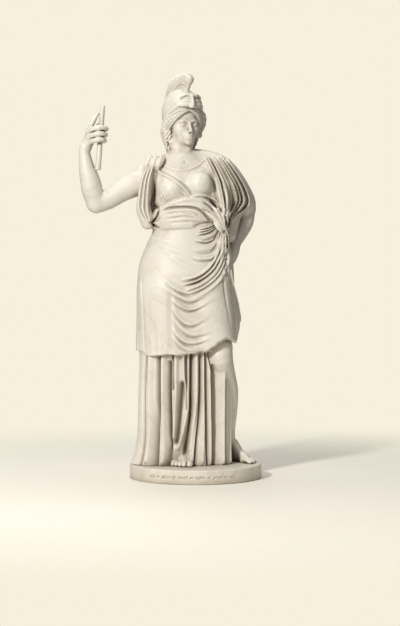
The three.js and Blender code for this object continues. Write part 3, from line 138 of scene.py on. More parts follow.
def roped(points, strands, depth, twist=0.0, up=(0, 0, 1)):
    """A tube whose surface is combed into strands that wind about it."""
    line = curve_through(points, (len(points) - 1) * 5)
    low, high = around(line, line[:, 3].max())
    last = len(line) - 1

    def at(x, y, z):
        best = phase = None
        for n in range(last):
            a, b = line[n], line[n + 1]
            d = b[:3] - a[:3]
            size = float(np.linalg.norm(d))
            t = np.clip(((x - a[0]) * d[0] + (y - a[1]) * d[1] + (z - a[2]) * d[2]) / size ** 2, 0, 1)
            rx, ry, rz = x - a[0] - t * d[0], y - a[1] - t * d[1], z - a[2] - t * d[2]
            away = length(rx, ry, rz) - mix(a[3], b[3], t)
            side = np.cross(d / size, up)
            side = side / np.linalg.norm(side)
            over = np.cross(side, d / size)
            sideways = rx * side[0] + ry * side[1] + rz * side[2]
            upward = rx * over[0] + ry * over[1] + rz * over[2]
            wound = 0.5 * strands * np.arctan2(sideways, upward) + twist * (n + t) / last
            if best is None:
                best, phase = away, wound
            else:
                closer = away < best
                best = np.where(closer, away, best)
                phase = np.where(closer, wound, phase)
        return best + depth * (0.6 - np.abs(np.cos(phase)))

    return Form(low - depth, high + depth, at)


def ellipsoid(centre, radii):
    c, r = centre, radii

    def at(x, y, z):
        u, v, w = (x - c[0]) / r[0], (y - c[1]) / r[1], (z - c[2]) / r[2]
        k0 = length(u, v, w)
        k1 = length(u / r[0], v / r[1], w / r[2])
        return np.where(k1 > 1e-6, k0 * (k0 - 1) / np.maximum(k1, 1e-6), -min(r))

    return Form(np.subtract(c, r), np.add(c, r), at)


def ball(centre, r):
    return ellipsoid(centre, [r, r, r])


def placed(form, place):
    """Turn a form about the upright axis by place[3] degrees, then move it."""
    px, py, pz, turn = place
    cs, sn = math.cos(turn * DEG), math.sin(turn * DEG)
    xs, ys = [], []
    for cx in (form.low[0], form.high[0]):
        for cy in (form.low[1], form.high[1]):
            xs.append(px + cx * cs - cy * sn)
            ys.append(py + cx * sn + cy * cs)

    def at(x, y, z):
        dx, dy = x - px, y - py
        return form.at(dx * cs + dy * sn, -dx * sn + dy * cs, z - pz)

    return Form([min(xs), min(ys), form.low[2] + pz], [max(xs), max(ys), form.high[2] + pz], at)


class Relief:
    """Heights drawn as strokes on a flat sheet; ridges and hollows are added up at the end."""

    def __init__(self, u_low, u_high, v_low, v_high, step):
        self.u_low, self.v_low, self.step = u_low, v_low, step
        self.nu = int(round((u_high - u_low) / step)) + 1
        self.nv = int(round((v_high - v_low) / step)) + 1
        self.high = np.zeros((self.nv, self.nu))
        self.deep = np.zeros((self.nv, self.nu))
        self.sheet = None

    def cells(self, a, b, width, low, most):
        first = int((min(a, b) - width - low) / self.step)
        last = int((max(a, b) + width - low) / self.step)
        return max(first, 0), min(last + 2, most)

    def stroke(self, points, width, height, start=0.25, end=0.25, sharp=False):
        line = smooth_line(points, (len(points) - 1) * 8)
        sheet = self.high if height > 0 else self.deep
        n = len(line) - 1
        for s in range(n):
            a, b = line[s], line[s + 1]
            du, dv = b - a
            i0, i1 = self.cells(a[0], b[0], width, self.u_low, self.nu)
            j0, j1 = self.cells(a[1], b[1], width, self.v_low, self.nv)
            if i1 <= i0 or j1 <= j0:
                continue
            u = self.u_low + np.arange(i0, i1)[None, :] * self.step
            v = self.v_low + np.arange(j0, j1)[:, None] * self.step
            t = np.clip(((u - a[0]) * du + (v - a[1]) * dv) / (du * du + dv * dv + 1e-9), 0, 1)
            away = np.minimum(np.hypot(u - a[0] - t * du, v - a[1] - t * dv) / width, 1)
            along = (s + t) / n
            fade_in = along / start if start > 0 else 1
            fade_out = (1 - along) / end if end > 0 else 1
            fade = np.minimum(1, np.minimum(fade_in, fade_out))
            shape = np.cos(math.pi / 2 * away) ** 2
            if sharp:
                core = max(0.3, SHARPEST / width)
                shape = 0.45 * shape + 0.55 * np.exp(-((away / core) ** 2)) * (away < 1)
            profile = shape * np.sin(math.pi / 2 * np.clip(fade, 0, 1)) * height
            part = sheet[j0:j1, i0:i1]
            sheet[j0:j1, i0:i1] = np.maximum(part, profile) if height > 0 else np.minimum(part, profile)
        self.sheet = None
        return self

    def at(self, u, v):
        if self.sheet is None:
            self.sheet = self.high + self.deep
        iu = np.clip((u - self.u_low) / self.step, 0, self.nu - 1.001)
        iv = np.clip((v - self.v_low) / self.step, 0, self.nv - 1.001)
        i, j = iu.astype(int), iv.astype(int)
        s, t = iu - i, iv - j
        h = self.sheet
        low_row = h[j, i] * (1 - s) + h[j, i + 1] * s
        return low_row * (1 - t) + (h[j + 1, i] * (1 - s) + h[j + 1, i + 1] * s) * t


def around_sheet(v_low, v_high):
    return Relief(-math.pi * DRUM, math.pi * DRUM, v_low, v_high, 2.0)


def round_behind(turn):
    """Where a turn in degrees, past the middle of the back as well, lies on such a sheet."""
    u = turn * DEG * DRUM
    return u - 2 * math.pi * DRUM if u > math.pi * DRUM else u


class Loft(Form):
    """Sections [z, left, right, front, back] joined by smooth curves."""

    def __init__(self, sections, roundness, relief=None, lean=0.0):
        s = np.asarray(sections, float)
        z, last = s[:, 0], len(s) - 1
        rows = np.linspace(z[0], z[-1], 401)
        i = np.clip(np.searchsorted(z, rows), 1, last)
        a, b = s[i - 1], s[i]
        before, after = s[np.maximum(i - 2, 0)], s[np.minimum(i + 1, last)]
        span = (b[:, 0] - a[:, 0])[:, None]
        t = ((rows - a[:, 0])[:, None]) / span
        with np.errstate(divide="ignore", invalid="ignore"):
            sa = np.where((i > 1)[:, None], (b - before) / (b[:, 0] - before[:, 0])[:, None] * span, b - a)
            sb = np.where((i < last)[:, None], (after - a) / (after[:, 0] - a[:, 0])[:, None] * span, b - a)
        rise = b - a
        made = a + t * (sa + t * (3 * rise - 2 * sa - sb + t * (sa + sb - 2 * rise)))
        self.rows, self.table = rows, made[:, 1:]
        self.n, self.relief, self.lean = roundness, relief, lean
        room = 45  # for folds that stand proud
        low = [self.table[:, 0].min(), self.table[:, 2].min(), z[0]]
        high = [self.table[:, 1].max(), self.table[:, 3].max(), z[-1]]
        self.low, self.high = np.array(low) - room, np.array(high) + room

    def section(self, z):
        return [np.interp(z, self.rows, self.table[:, c]) for c in range(4)]

    def local(self, x, y, z):
        l, r, f, b = self.section(z)
        dx = x - 0.5 * (l + r)
        dy = y - 0.5 * (f + b) - self.lean * dx
        return dx, dy, 0.5 * (r - l), 0.5 * (b - f)

    def turn(self, x, y, z):
        dx, dy, wide, deep = self.local(x, y, z)
        return np.arctan2(dx / wide, -dy / deep)

    def radial(self, x, y, z):
        dx, dy, wide, deep = self.local(x, y, z)
        q = ((np.abs(dx) / wide) ** self.n + (np.abs(dy) / deep) ** self.n) ** (1 / self.n)
        outward = np.hypot(dx, dy) * (1 - 1 / np.maximum(q, 0.1))
        return np.where(q > 0.25, outward, -1.5 * np.minimum(wide, deep))

    def at(self, x, y, z):
        d = self.radial(x, y, z)
        if self.relief is None:
            return d
        return near(d, x, y, z, lambda x, y, z: -self.relief.at(self.turn(x, y, z) * DRUM, z))

    def onto(self, points):
        made = []
        for x, z in points:
            l, r, _, _ = self.section(z)
            u = float(np.clip((x - 0.5 * (l + r)) / (0.5 * (r - l)), -0.999, 0.999))
            made.append([math.atan2(u, (1 - abs(u) ** self.n) ** (1 / self.n)) * DRUM, z])
        return made


def near(d, x, y, z, change):
    """Add change(x, y, z) to d only close to the surface."""
    d = np.array(d, dtype=np.float32)
    x, y, z = np.broadcast_arrays(x, y, z)
    pick = np.abs(d) < SKIN
    d[pick] += change(x[pick], y[pick], z[pick])
    return d


# The carving grid, closer round the head, the raised hand and the chest
def spacing(*runs):
    lines = [np.array([runs[0][0]], float)]
    for start, stop, step in runs:
        count = int(round((stop - start) / step))
        lines.append(start + (stop - start) * np.arange(1, count + 1) / count)
    return np.concatenate(lines)


BED = PLINTH_HEIGHT + 0.3  # underside of the figure
GX = spacing((-620, -160, CELL), (-160, 60, FINE), (60, 350, CELL))
GY = spacing((-260, -140, CELL), (-140, 110, FINE), (110, 290, CELL))
GZ = spacing((BED - 2 * CELL, BED, CELL), (BED, 1600, CELL), (1600, 2064, FINE))
FAR = 80  # what an empty grid holds


class Carving:
    """Distances to a surface on a part of the grid, to which forms are joined and from which they are cut."""

    def __init__(self, low=None, high=None):
        low = [-1e9] * 3 if low is None else low
        high = [1e9] * 3 if high is None else high
        self.start = [max(int(np.searchsorted(g, v)) - 1, 0) for g, v in zip((GX, GY, GZ), low)]
        self.stop = [min(int(np.searchsorted(g, v)) + 1, len(g)) for g, v in zip((GX, GY, GZ), high)]
        self.d = np.full([b - a for a, b in zip(self.start, self.stop)], FAR, np.float32)

    def each(self, low, high, reach, change):
        cut, lines = [], []
        for n, g in enumerate((GX, GY, GZ)):
            a = max(int(np.searchsorted(g, low[n] - reach)) - 1, self.start[n])
            b = min(int(np.searchsorted(g, high[n] + reach)) + 1, self.stop[n])
            if b <= a:
                return self
            cut.append(slice(a - self.start[n], b - self.start[n]))
            lines.append(g[a:b])
        cut = tuple(cut)
        x, y, z = lines[0][:, None, None], lines[1][None, :, None], lines[2][None, None, :]
        self.d[cut] = change(self.d[cut], x, y, z)
        return self

    def join(self, form, blend=4):
        def change(d, x, y, z):
            return smooth_min(d, form.at(x, y, z), blend)

        return self.each(form.low, form.high, blend + 12, change)

    def cut(self, form, blend=4):
        def change(d, x, y, z):
            return smooth_max(d, -form.at(x, y, z), blend)

        return self.each(form.low, form.high, blend + 12, change)

    def add(self, other, blend=4):
        cut = tuple(slice(a - s, b - s) for a, b, s in zip(other.start, other.stop, self.start))
        self.d[cut] = smooth_min(self.d[cut], other.d, blend)
        return self


# Underskirt
skirt_folds = around_sheet(60, 720)
skirt = Loft(
    [
        [60, -330, 186, -146, 150],
        [140, -308, 182, -138, 150], [240, -294, 180, -132, 150],
        [500, -288, 180, -138, 158], [720, -282, 180, -146, 162],
    ],
    2.7,
    skirt_folds,
    0.05,
)
for points, width, depth, start in [
    ([[-278, 620], [-296, 300], [-320, 62]], 14, 18, 0.05),
    ([[-247, 640], [-258, 400], [-282, 62]], 18, 28, 0.05),
    ([[-184, 640], [-186, 400], [-196, 200], [-203, 62]], 17, 46, 0.05),
    ([[-190, 400], [-198, 240], [-204, 140], [-208, 62]], 27, 58, 0.7),
    ([[-129, 600], [-127, 320], [-126, 62]], 13, 42, 0.05),
    ([[-126, 200], [-132, 120], [-146, 62]], 19, 42, 0.7),
    ([[-112, 640], [-114, 540], [-112, 450]], 9, 14, 0.05),
    ([[-62, 490], [-76, 370], [-84, 290], [-100, 180]], 25, 36, 0.05),
    ([[-48, 640], [-46, 500], [-42, 350]], 9, 20, 0.05),
    ([[-18, 640], [-20, 420], [-26, 300], [-40, 180], [-52, 62]], 18, 48, 0.05),
    ([[-24, 320], [-38, 210], [-50, 130], [-54, 62]], 38, 60, 0.6),
    ([[25, 640], [22, 350], [8, 200], [-2, 62]], 13, 30, 0.05),
    ([[52, 640], [56, 330], [68, 62]], 16, 46, 0.05),
    ([[70, 640], [78, 560], [88, 480]], 15, 40, 0.05),
    ([[150, 590], [154, 330], [158, 62]], 12, 22, 0.05),
]:
    skirt_folds.stroke(skirt.onto(points), width, -depth, start, 0.02, True)
# Wide hollows round the left calf and the right foot
skirt_folds.stroke(skirt.onto([[98, 556], [102, 320], [106, 62]]), 35, -60, 0.0, 0.02)
skirt_folds.stroke(skirt.onto([[-78, 166], [-80, 62]]), 56, -44, 0.9, 0)
for points, width, height in [
    ([[-222, 640], [-226, 380], [-246, 80]], 22, 12),
    ([[-158, 640], [-156, 340], [-162, 75]], 20, 14),
    ([[-96, 640], [-96, 420], [-108, 200]], 16, 13),
    ([[-60, 640], [-58, 520], [-40, 380], [-62, 240], [-92, 150]], 12, 14),
    ([[2, 640], [2, 420], [-18, 240], [-30, 150]], 15, 13),
    ([[38, 640], [38, 340], [32, 75]], 12, 10),
    ([[70, 620], [72, 330], [82, 70]], 9, 12),
    ([[136, 600], [134, 330], [134, 70]], 11, 16),
    ([[170, 600], [172, 330], [172, 70]], 13, 10),
]:
    skirt_folds.stroke(skirt.onto(points), width, height, 0.1, 0.05)
for n in range(9):
    back = round_behind(115 + 18.5 * n)
    sway = 14 * math.sin(n * 2.1)
    line = [[back, 720], [back + sway, 360], [back - sway, 60]]
    skirt_folds.stroke(line, 26, -30 - 6 * math.cos(n * 1.7), 0.05, 0.02)


# Feet and the bare left calf
def foot(heel, toe, width, height):
    """The pieces of a foot, each with its blend; width is negative for the right foot."""
    d = np.subtract(toe, heel)
    size = float(np.hypot(*d))
    ax, ay = d / size
    base = PLINTH_HEIGHT

    def at(t, s, z, r):
        return [heel[0] + ax * size * t - ay * s, heel[1] + ay * size * t + ax * s, base + z, r]

    instep = [at(0.22, 0, height, 33), at(0.48, -width * 0.08, 42, 24), at(0.74, -width * 0.12, 18, 17)]
    parts = [
        (tube([at(0.1, 0, 28, 31), at(0.35, 0, 32, 30), at(0.6, 0, 18, 27)]), 9),
        (tube(instep), 12),
        (tube([at(0.7, -width * 0.32, 14, 17), at(0.68, width * 0.3, 12, 14)]), 9),
    ]
    # Each toe has its end along the foot, its place across it, and its radius.
    toes = [(1, -0.39, 12.5), (0.985, -0.15, 9.2), (0.94, 0.03, 8.8), (0.885, 0.2, 8.3), (0.82, 0.36, 8)]
    for n, (end, side, r) in enumerate(toes):
        r *= abs(width) / 94
        s = width * side
        bend = [at(end - 0.25, s * 0.92, 17, r), at(end - 0.14, s, 17 + 2 * (n > 0), r * 0.92)]
        tip = [at(end - 0.07, s, 11, r * 0.98), at(end - 0.045, s, r * 0.75, r * 0.9)]
        parts.append((tube(bend + tip, 9), 3))
    return parts


left_leg = tube([
    [122, -70, 660, 64], [126, -72, 604, 61], [146, -16, 520, 54], [163, 20, 430, 53],
    [169, 56, 320, 42], [171, 84, 235, 31], [173, 100, 180, 29], [170, 114, 125, 30],
])
left_foot = foot([158, 152], [308, -34], 90, 80)
right_foot = foot([-58, 40], [-76, -200], -118, 74)

# Overskirt
apron_folds = around_sheet(600, 1400)
apron = Loft(
    [
        [590, -302, 205, -178, 190], [700, -302, 212, -184, 190],
        [770, -300, 224, -186, 188], [860, -299, 212, -185, 184],
        [940, -298, 198, -182, 178], [1080, -284, 190, -164, 165],
        [1180, -246, 172, -142, 142], [1260, -212, 160, -130, 126],
        [1360, -200, 152, -122, 120],
    ],
    2.15,
    apron_folds,
)
APRON_TOP = 1330
HEM = np.array([
    [-330, 636], [-258, 642], [-241, 632], [-189, 634], [-131, 641], [-66, 634], [-15, 632], [37, 646],
    [89, 674], [120, 696], [152, 712], [205, 690], [240, 700],
], float)
HEM_X = np.linspace(-330, 240, 571)
HEM_Z = eased(HEM, HEM_X)[0]


def hem_at(x):
    return np.interp(x, HEM_X, HEM_Z)


def above_hem(form):
    return Form(form.low, form.high, lambda x, y, z: smooth_max(form.at(x, y, z), hem_at(x) - z, 5))


def apron_ridge(points, width, height, a=0.25, b=0.25):
    apron_folds.stroke(apron.onto(points), width, height, a, b)


def apron_hollow(points, width, depth, a=0.25, b=0.25, sharp=False):
    apron_folds.stroke(apron.onto(points), width, -depth, a, b, sharp)


# Swags leave the knot on the left hip and sweep across the thighs.
SWAG_TOP = [[112, 1230], [112, 1165], [94, 1104], [52, 1048], [0, 1014], [-66, 1000]]
SWAG_LOW = [[140, 1200], [158, 1110], [141, 1048], [104, 990], [34, 932], [-50, 896]]


def between(first, second, t, ragged=0.0):
    line = [[mix(p[0], q[0], t), mix(p[1], q[1], t)] for p, q in zip(first, second)]
    if ragged:
        line[-1] = [mix(line[-2][0], line[-1][0], 1 - ragged), mix(line[-2][1], line[-1][1], 1 - ragged)]
    return line


def pleats(sheet, first, second, count, width, height, depth, a=0.15, b=0.3, wander=0.15, ragged=0.0):
    """Ridges between two guide lines, with a sharp hollow after each."""
    for n in range(count):
        t = (n + wander * math.sin(3.7 * n)) / (count - 1)
        short = ragged * (0.5 + 0.5 * math.sin(2.9 * n + 1))
        broad = width * (1 + wander * math.sin(4.1 * n))
        grow = 1 + 0.3 * math.sin(2.3 * n)
        sheet.stroke(between(first, second, t, short), broad, height * grow, a, b)
        if n < count - 1:
            t = (n + 0.5 + wander * math.sin(2.9 * n + 2)) / (count - 1)
            broad = width * (0.9 + 0.25 * math.cos(3.3 * n))
            deep = depth * (1 + 0.25 * math.sin(1.7 * n))
            sheet.stroke(between(first, second, t, short), broad, -deep, a, b, True)


pleats(apron_folds, apron.onto(SWAG_TOP), apron.onto(SWAG_LOW), 5, 11, 13, 15, 0.08, 0.25)
# Small folds that are pulled sideways from the knot
pleats(
    apron_folds,
    apron.onto([[108, 1250], [86, 1222], [50, 1210], [4, 1216]]),
    apron.onto([[100, 1120], [78, 1086], [22, 1082], [-46, 1106]]),
    6, 10, 8, 12, 0.1, 0.5, 0.3, 0.8,
)
for k in range(3):
    crescent = [[20 - 6 * k, 1252 - 14 * k], [64, 1262 - 12 * k], [98, 1282 - 10 * k]]
    apron_ridge(crescent, 8, 11, 0.4, 0.1)
    apron_hollow([[x, z - 8] for x, z in crescent], 7, 10, 0.4, 0.1)
# Cloth that falls from the knot down her left side
pleats(
    apron_folds,
    apron.onto([[118, 1250], [128, 1160], [134, 1060], [132, 1000]]),
    apron.onto([[158, 1240], [164, 1150], [170, 1060], [168, 1000]]),
    4, 9, 9, 12, 0.1, 0.3, 0.25,
)
# Swags that hang between the thighs
HUNG = [
    [[-146, 1000], [-111, 964], [-56, 938], [-8, 942], [44, 980]],
    [[-134, 958], [-82, 918], [-30, 897], [18, 911], [84, 960]],
    [[-121, 908], [-81, 872], [-30, 852], [34, 872], [90, 924]],
    [[-118, 872], [-92, 822], [-42, 781], [16, 788], [74, 836]],
    [[-112, 822], [-76, 766], [-24, 730], [40, 736], [92, 772]],
    [[-116, 776], [-87, 720], [-40, 688], [28, 694], [78, 722]],
    [[-112, 728], [-78, 680], [-30, 652], [30, 656]],
]
for k, line in enumerate(HUNG):
    broad = 13 + 3 * math.sin(2.1 * k)
    apron_ridge(line, broad, 9 + 3 * math.sin(1.3 * k), 0.3, 0.6)
    apron_hollow([[x, z - broad - 2] for x, z in line], broad, 11 + 3 * (k in (3, 4)), 0.2, 0.6, True)
apron_hollow([[-116, 960], [-120, 800], [-114, 655]], 20, 10, 0.2, 0.1)
apron_hollow([[-266, 1010], [-260, 900], [-254, 780], [-247, 640]], 13, 24, 0.3, 0.05, True)
apron_hollow([[-222, 900], [-216, 780], [-190, 690]], 14, 8, 0.4, 0.3)
apron_hollow([[-290, 1080], [-296, 860], [-290, 640]], 10, 16, 0.2, 0.05, True)
apron_hollow([[-190, 800], [-196, 740], [-180, 640]], 18, 8, 0.3, 0.05)
# Faint folds over the right hip
for k in range(4):
    fold = [[-226 + 30 * k, 1226 - 34 * k], [-170 + 30 * k, 1196 - 37 * k], [-104 + 30 * k, 1188 - 44 * k]]
    apron_ridge(fold, 15, 5, 0.4, 0.6)
# The front of the left thigh ends in a fold, and the cloth beyond it turns to the side.
apron_hollow([[128, 1030], [134, 960], [140, 860], [150, 760], [158, 705]], 14, 20, 0.2, 0.05, True)
apron_hollow([[176, 1000], [180, 900], [192, 800], [196, 700]], 15, 18, 0.15, 0.05)
apron_ridge([[160, 1090], [184, 975], [208, 880], [222, 780]], 8, 11, 0.15, 0.1)
apron_hollow([[152, 1060], [174, 960], [194, 860], [206, 790]], 9, 14, 0.15, 0.2)
for n in range(9):
    top = round_behind(118 + 17 * n)
    line = [[top, 1240], [top + 22 * math.sin(n), 980], [top - 10 * math.sin(n * 1.9), 600]]
    apron_folds.stroke(line, 24, -22 - 5 * math.cos(n * 2.3), 0.3, 0.02)
trunk = Loft(
    [
        [1140, -204, 134, -126, 124], [1260, -188, 112, -117, 115],
        [1340, -200, 120, -126, 120], [1420, -220, 124, -132, 122],
        [1500, -234, 124, -118, 112], [1560, -224, 108, -84, 92],
        [1610, -155, 30, -64, 72], [1650, -130, 0, -60, 62],
    ],
    2.2,
)
def capped(form, top, blend=30):
    return Form(form.low, form.high, lambda x, y, z: smooth_max(form.at(x, y, z), z - top, blend))


# Bodice and mantle folds
front_folds = Relief(-330, 350, 1140, 1680, 2.0)
drape = front_folds.stroke
VEE = [[-212, 1573], [-182, 1538], [-147, 1518], [-96, 1487], [-56, 1452], [-25, 1411]]
drape(VEE, 10, 11, 0.05, 0.1)
drape([[x + 8, z + 9] for x, z in VEE], 8, -6, 0.2, 0.1)
for n in range(1, 4):
    x, z = 6 * n, -12 * n
    drape([[x - 118, 1488 + z], [x - 84, 1456 - 9 * n], [8 * n - 54, 1416 - 3 * n]], 7, 7, 0.5, 0.1)
    drape([[x - 112, 1480 + z], [x - 78, 1448 - 9 * n], [8 * n - 47, 1412 - 3 * n]], 6, -7, 0.5, 0.1)
drape([[-162, 1578], [-131, 1558], [-76, 1547], [-30, 1550], [15, 1572], [45, 1605]], 7, 7, 0.05, 0.05)
drape([[-45, 1402], [5, 1416], [60, 1412], [106, 1388], [132, 1350]], 12, 15, 0.25, 0.1)
drape([[-53, 1588], [-52, 1586]], 9, -5, 0, 0)
drape([[-192, 1556], [-204, 1500], [-206, 1420], [-222, 1376]], 15, -26, 0.25, 0.1, True)
drape([[-218, 1400], [-206, 1370], [-186, 1356]], 10, -14, 0.3, 0.1)
for n in range(5):
    fold = [[12 * n - 176, 1424 + 8 * n], [14 * n - 166, 1402 + 6 * n], [16 * n - 150, 1384 + 5 * n]]
    drape(fold, 7, 7 - n, 0.4, 0.2)
# Long folds of the cloth that hangs from the right shoulder
KOLPOS_LEFT = [[-240, 1566], [-266, 1500], [-280, 1420], [-284, 1350], [-246, 1280]]
KOLPOS_RIGHT = [[-214, 1572], [-232, 1500], [-240, 1420], [-240, 1340], [-224, 1280]]
for t in (0, 0.5, 1):
    drape(between(KOLPOS_LEFT, KOLPOS_RIGHT, t), 10, 8, 0.1, 0.1)
for t in (0.25, 0.75):
    drape(between(KOLPOS_LEFT, KOLPOS_RIGHT, t), 8, -6, 0.15, 0.15)
INNER = [[46, 1618], [74, 1556], [98, 1490], [116, 1410], [146, 1316]]
OUTER_EDGE = [[152, 1608], [214, 1520], [258, 1440], [264, 1376], [180, 1306]]
pleats(front_folds, INNER, OUTER_EDGE, 8, 12, 12, 15, 0.12, 0.05, 0.22)
# Folds spread again below the knot
for k in range(5):
    drape([[128 + 5 * k, 1250], [112 + 13 * k, 1208], [106 + 15 * k, 1156]], 6, 9, 0.1, 0.1)
    if k < 4:
        drape([[130 + 5 * k, 1248], [118 + 13 * k, 1208], [113 + 15 * k, 1156]], 6, -10, 0.1, 0.1)
drape([[120, 1560], [138, 1480], [136, 1400]], 6, 7, 0.3, 0.3)
drape([[176, 1540], [206, 1450], [196, 1370]], 6, 7, 0.3, 0.3)
for k in range(3):
    drape([[186, 1300 + 8 * k], [222, 1336 + 12 * k], [272 - 6 * k, 1376 + 16 * k]], 7, 9, 0.1, 0.4)
# A deep hollow opens between the breast and the mantle.
drape([[82, 1530], [100, 1470], [118, 1390], [134, 1320]], 24, -26, 0.3, 0.2)
# The sash: long soft folds that gather at the knot
drape([[-178, 1352], [-150, 1368], [-96, 1388], [-20, 1402], [50, 1392]], 17, 8, 0.3, 0.3)
for line, width, depth in [
    ([[-170, 1340], [-110, 1356], [-20, 1356], [26, 1340], [60, 1306], [86, 1276]], 11, 20),
    ([[-158, 1326], [-80, 1332], [-10, 1320]], 7, 7),
    ([[-140, 1330], [-40, 1336], [16, 1316]], 6, 6),
    ([[-150, 1300], [-60, 1312], [-4, 1308]], 8, 8),
    ([[-130, 1280], [-40, 1286], [40, 1282]], 8, 7),
    ([[35, 1384], [76, 1356], [108, 1314], [130, 1262]], 8, 16),
    ([[60, 1398], [101, 1362], [128, 1316], [142, 1262]], 9, 18),
    ([[30, 1352], [70, 1330], [98, 1296], [120, 1262]], 7, 12),
    ([[96, 1390], [132, 1350], [150, 1300], [152, 1262]], 8, 14),
    ([[121, 1372], [156, 1340], [170, 1296], [158, 1258]], 8, 14),
    ([[-4, 1266], [40, 1280], [80, 1284], [104, 1278]], 11, 22),
    ([[-182, 1351], [-190, 1318], [-206, 1296], [-228, 1280]], 11, 20),
    ([[-232, 1290], [-206, 1270], [-180, 1256]], 9, 18),
    ([[-216, 1300], [-190, 1292], [-178, 1312]], 7, 9),
]:
    drape(line, width, -depth, 0.25, 0.12, depth > 10)


def draped(form, strength=1.0):
    def at(x, y, z):
        d = form.at(x, y, z)

        def change(x, y, z):
            return -strength * front_folds.at(x, z) * (1 - smooth_step(-20, 60, y - np.maximum(x, 0) * 0.35))

        return near(d, x, y, z, change)

    return Form(form.low - 16, form.high + 16, at)


# Sash: for each turn in degrees, the height of its middle and half its breadth
SASH = np.array([
    [-180, 1300, 52], [-120, 1284, 48], [-88, 1298, 52], [-46, 1308, 64], [-27, 1321, 74], [-3, 1331, 82],
    [20, 1341, 74], [37, 1334, 66], [52, 1308, 58], [69, 1286, 52], [120, 1280, 46], [180, 1300, 52],
], float)
SASH_TURNS = np.linspace(-180, 180, 361)
SASH_LINE, SASH_HALF = eased(SASH, SASH_TURNS)
sash_folds = around_sheet(-100, 100)
for n in range(5):
    s = -0.8 + 0.4 * n
    line = []
    for turn in range(86, 275, 17):
        sway = 7 * math.sin(turn * 0.11 + 2 * n)
        line.append([turn * DEG * DRUM, 52 * s * (0.9 + 0.25 * math.sin(turn * 0.05 + n)) + sway])
    sash_folds.stroke(line, 13, -13, 0.1, 0.02, True)
    sash_folds.stroke([[u - 2 * math.pi * DRUM, v] for u, v in line], 13, -13, 0.02, 0.1, True)
sash_core = Loft(
    [
        [1140, -252, 176, -150, 148], [1240, -226, 168, -146, 142],
        [1340, -216, 150, -148, 138], [1450, -218, 140, -148, 136],
    ],
    2.2,
)


def sash_at(x, y, z):
    d = np.array(sash_core.radial(x, y, z), dtype=np.float32)
    x, y, z = np.broadcast_arrays(x, y, z)
    pick = np.abs(d) < SKIN
    xp, yp, zp = x[pick], y[pick], z[pick]
    turn = sash_core.turn(xp, yp, zp)
    half = np.interp(turn / DEG, SASH_TURNS, SASH_HALF)
    up = zp - np.interp(turn / DEG, SASH_TURNS, SASH_LINE)
    bulge = 18 * (1 - np.clip(up / half, -1, 1) ** 2) - 8
    front = front_folds.at(xp, zp) * (1 - smooth_step(-40, 20, yp))
    roll = d[pick] - bulge - sash_folds.at(turn * DRUM, up / half * 55) - front
    d[pick] = smooth_max(roll, np.abs(up) - half, 16)
    inside = d < 1 - SKIN
    d[inside] = np.maximum(d[inside], np.abs(z[inside] - 1296) - 40)
    return d


sash = Form(sash_core.low, sash_core.high, sash_at)

# Head
HEAD = (-66, -4, EYE_HEIGHT - 100, HEAD_TURN)
head_carving = Carving([-330, -280, 1540], [200, 300, 2064])


def head(form, blend=4):
    head_carving.join(placed(form, HEAD), blend)


def dig(form, blend=4):
    head_carving.cut(placed(form, HEAD), blend)


def sided(s, points):
    """Points for her left (1) or right (-1) side of the head."""
    return [[s * p[0], *p[1:]] for p in points]


head(ellipsoid([0, 6, 150], [74, 96, 86]))
head(ellipsoid([0, -24, 92], [60, 66, 88]), 24)
head(ellipsoid([0, -52, 40], [40, 40, 38]), 24)
head(ellipsoid([0, -80, 14], [19, 15, 15]), 16)
for s in (-1, 1):
    head(ellipsoid([s * 38, -54, 80], [24, 28, 28]), 22)
for s in (-1, 1):
    dig(ellipsoid([s * 31, -99, 101], [21, 17, 13]), 14)
for s in (-1, 1):
    head(ellipsoid([s * 30, -75, 100], [16, 13, 12]), 3)
    head(tube(sided(s, [[10, -92, 113, 6], [28, -91, 120, 6], [48, -79, 115, 6]])), 9)
    lid = [
        [15, -83, 100, 2.2], [21, -87, 107, 2.7], [31, -89, 109.5, 2.9],
        [41, -85.5, 106, 2.6], [48, -79, 99, 2.2],
    ]
    head(tube(sided(s, lid), 12), 2)
    lid = [[16, -83, 97, 1.9], [24, -86.5, 92.5, 2.1], [34, -86.5, 91.5, 2.1], [46, -80, 97, 1.9]]
    head(tube(sided(s, lid), 12), 2)
head(tube([[0, -91, 114, 7.5], [0, -101, 86, 7.5], [0, -110, 67, 9]]), 9)
for s in (-1, 1):
    head(ellipsoid([s * 10.5, -99, 61], [6, 9, 6.5]), 5)
    dig(ball([s * 5.5, -108, 56], 2.6), 2)
head(ellipsoid([0, -87, 38], [27, 15, 20]), 12)
upper_lip = [
    [-20, -92, 39, 1.2], [-11, -99, 42, 3.6], [-4, -103, 44, 4.3], [0, -103, 43, 4.2],
    [4, -103, 44, 4.3], [11, -99, 42, 3.6], [20, -92, 39, 1.2],
]
head(tube(upper_lip, 24), 3)
head(tube([[-17, -93, 35, 1.2], [-7, -99.5, 32.5, 5], [7, -99.5, 32.5, 5], [17, -93, 35, 1.2]], 16), 4)
mouth = [
    [-23, -93, 39, 1.2], [-9, -104, 38.5, 1.6], [0, -107, 37.5, 1.7],
    [9, -104, 38.5, 1.6], [23, -93, 39, 1.2],
]
dig(tube(mouth, 16), 1.5)
dig(ball([0, -112, 53], 4), 4)
dig(ellipsoid([0, -108, 21], [15, 7, 5]), 7)
head_carving.join(tube([[-68, 18, 1580, 70], [-71, 12, 1640, 58], [-69, 12, 1730, 57]]), 24)
for s in (-1, 1):
    sinew = [[-66 + s * 50, 20, 1748, 14], [-66 + s * 42, -14, 1690, 13], [-66 + s * 16, -38, 1620, 11]]
    head_carving.join(tube(sinew), 22)
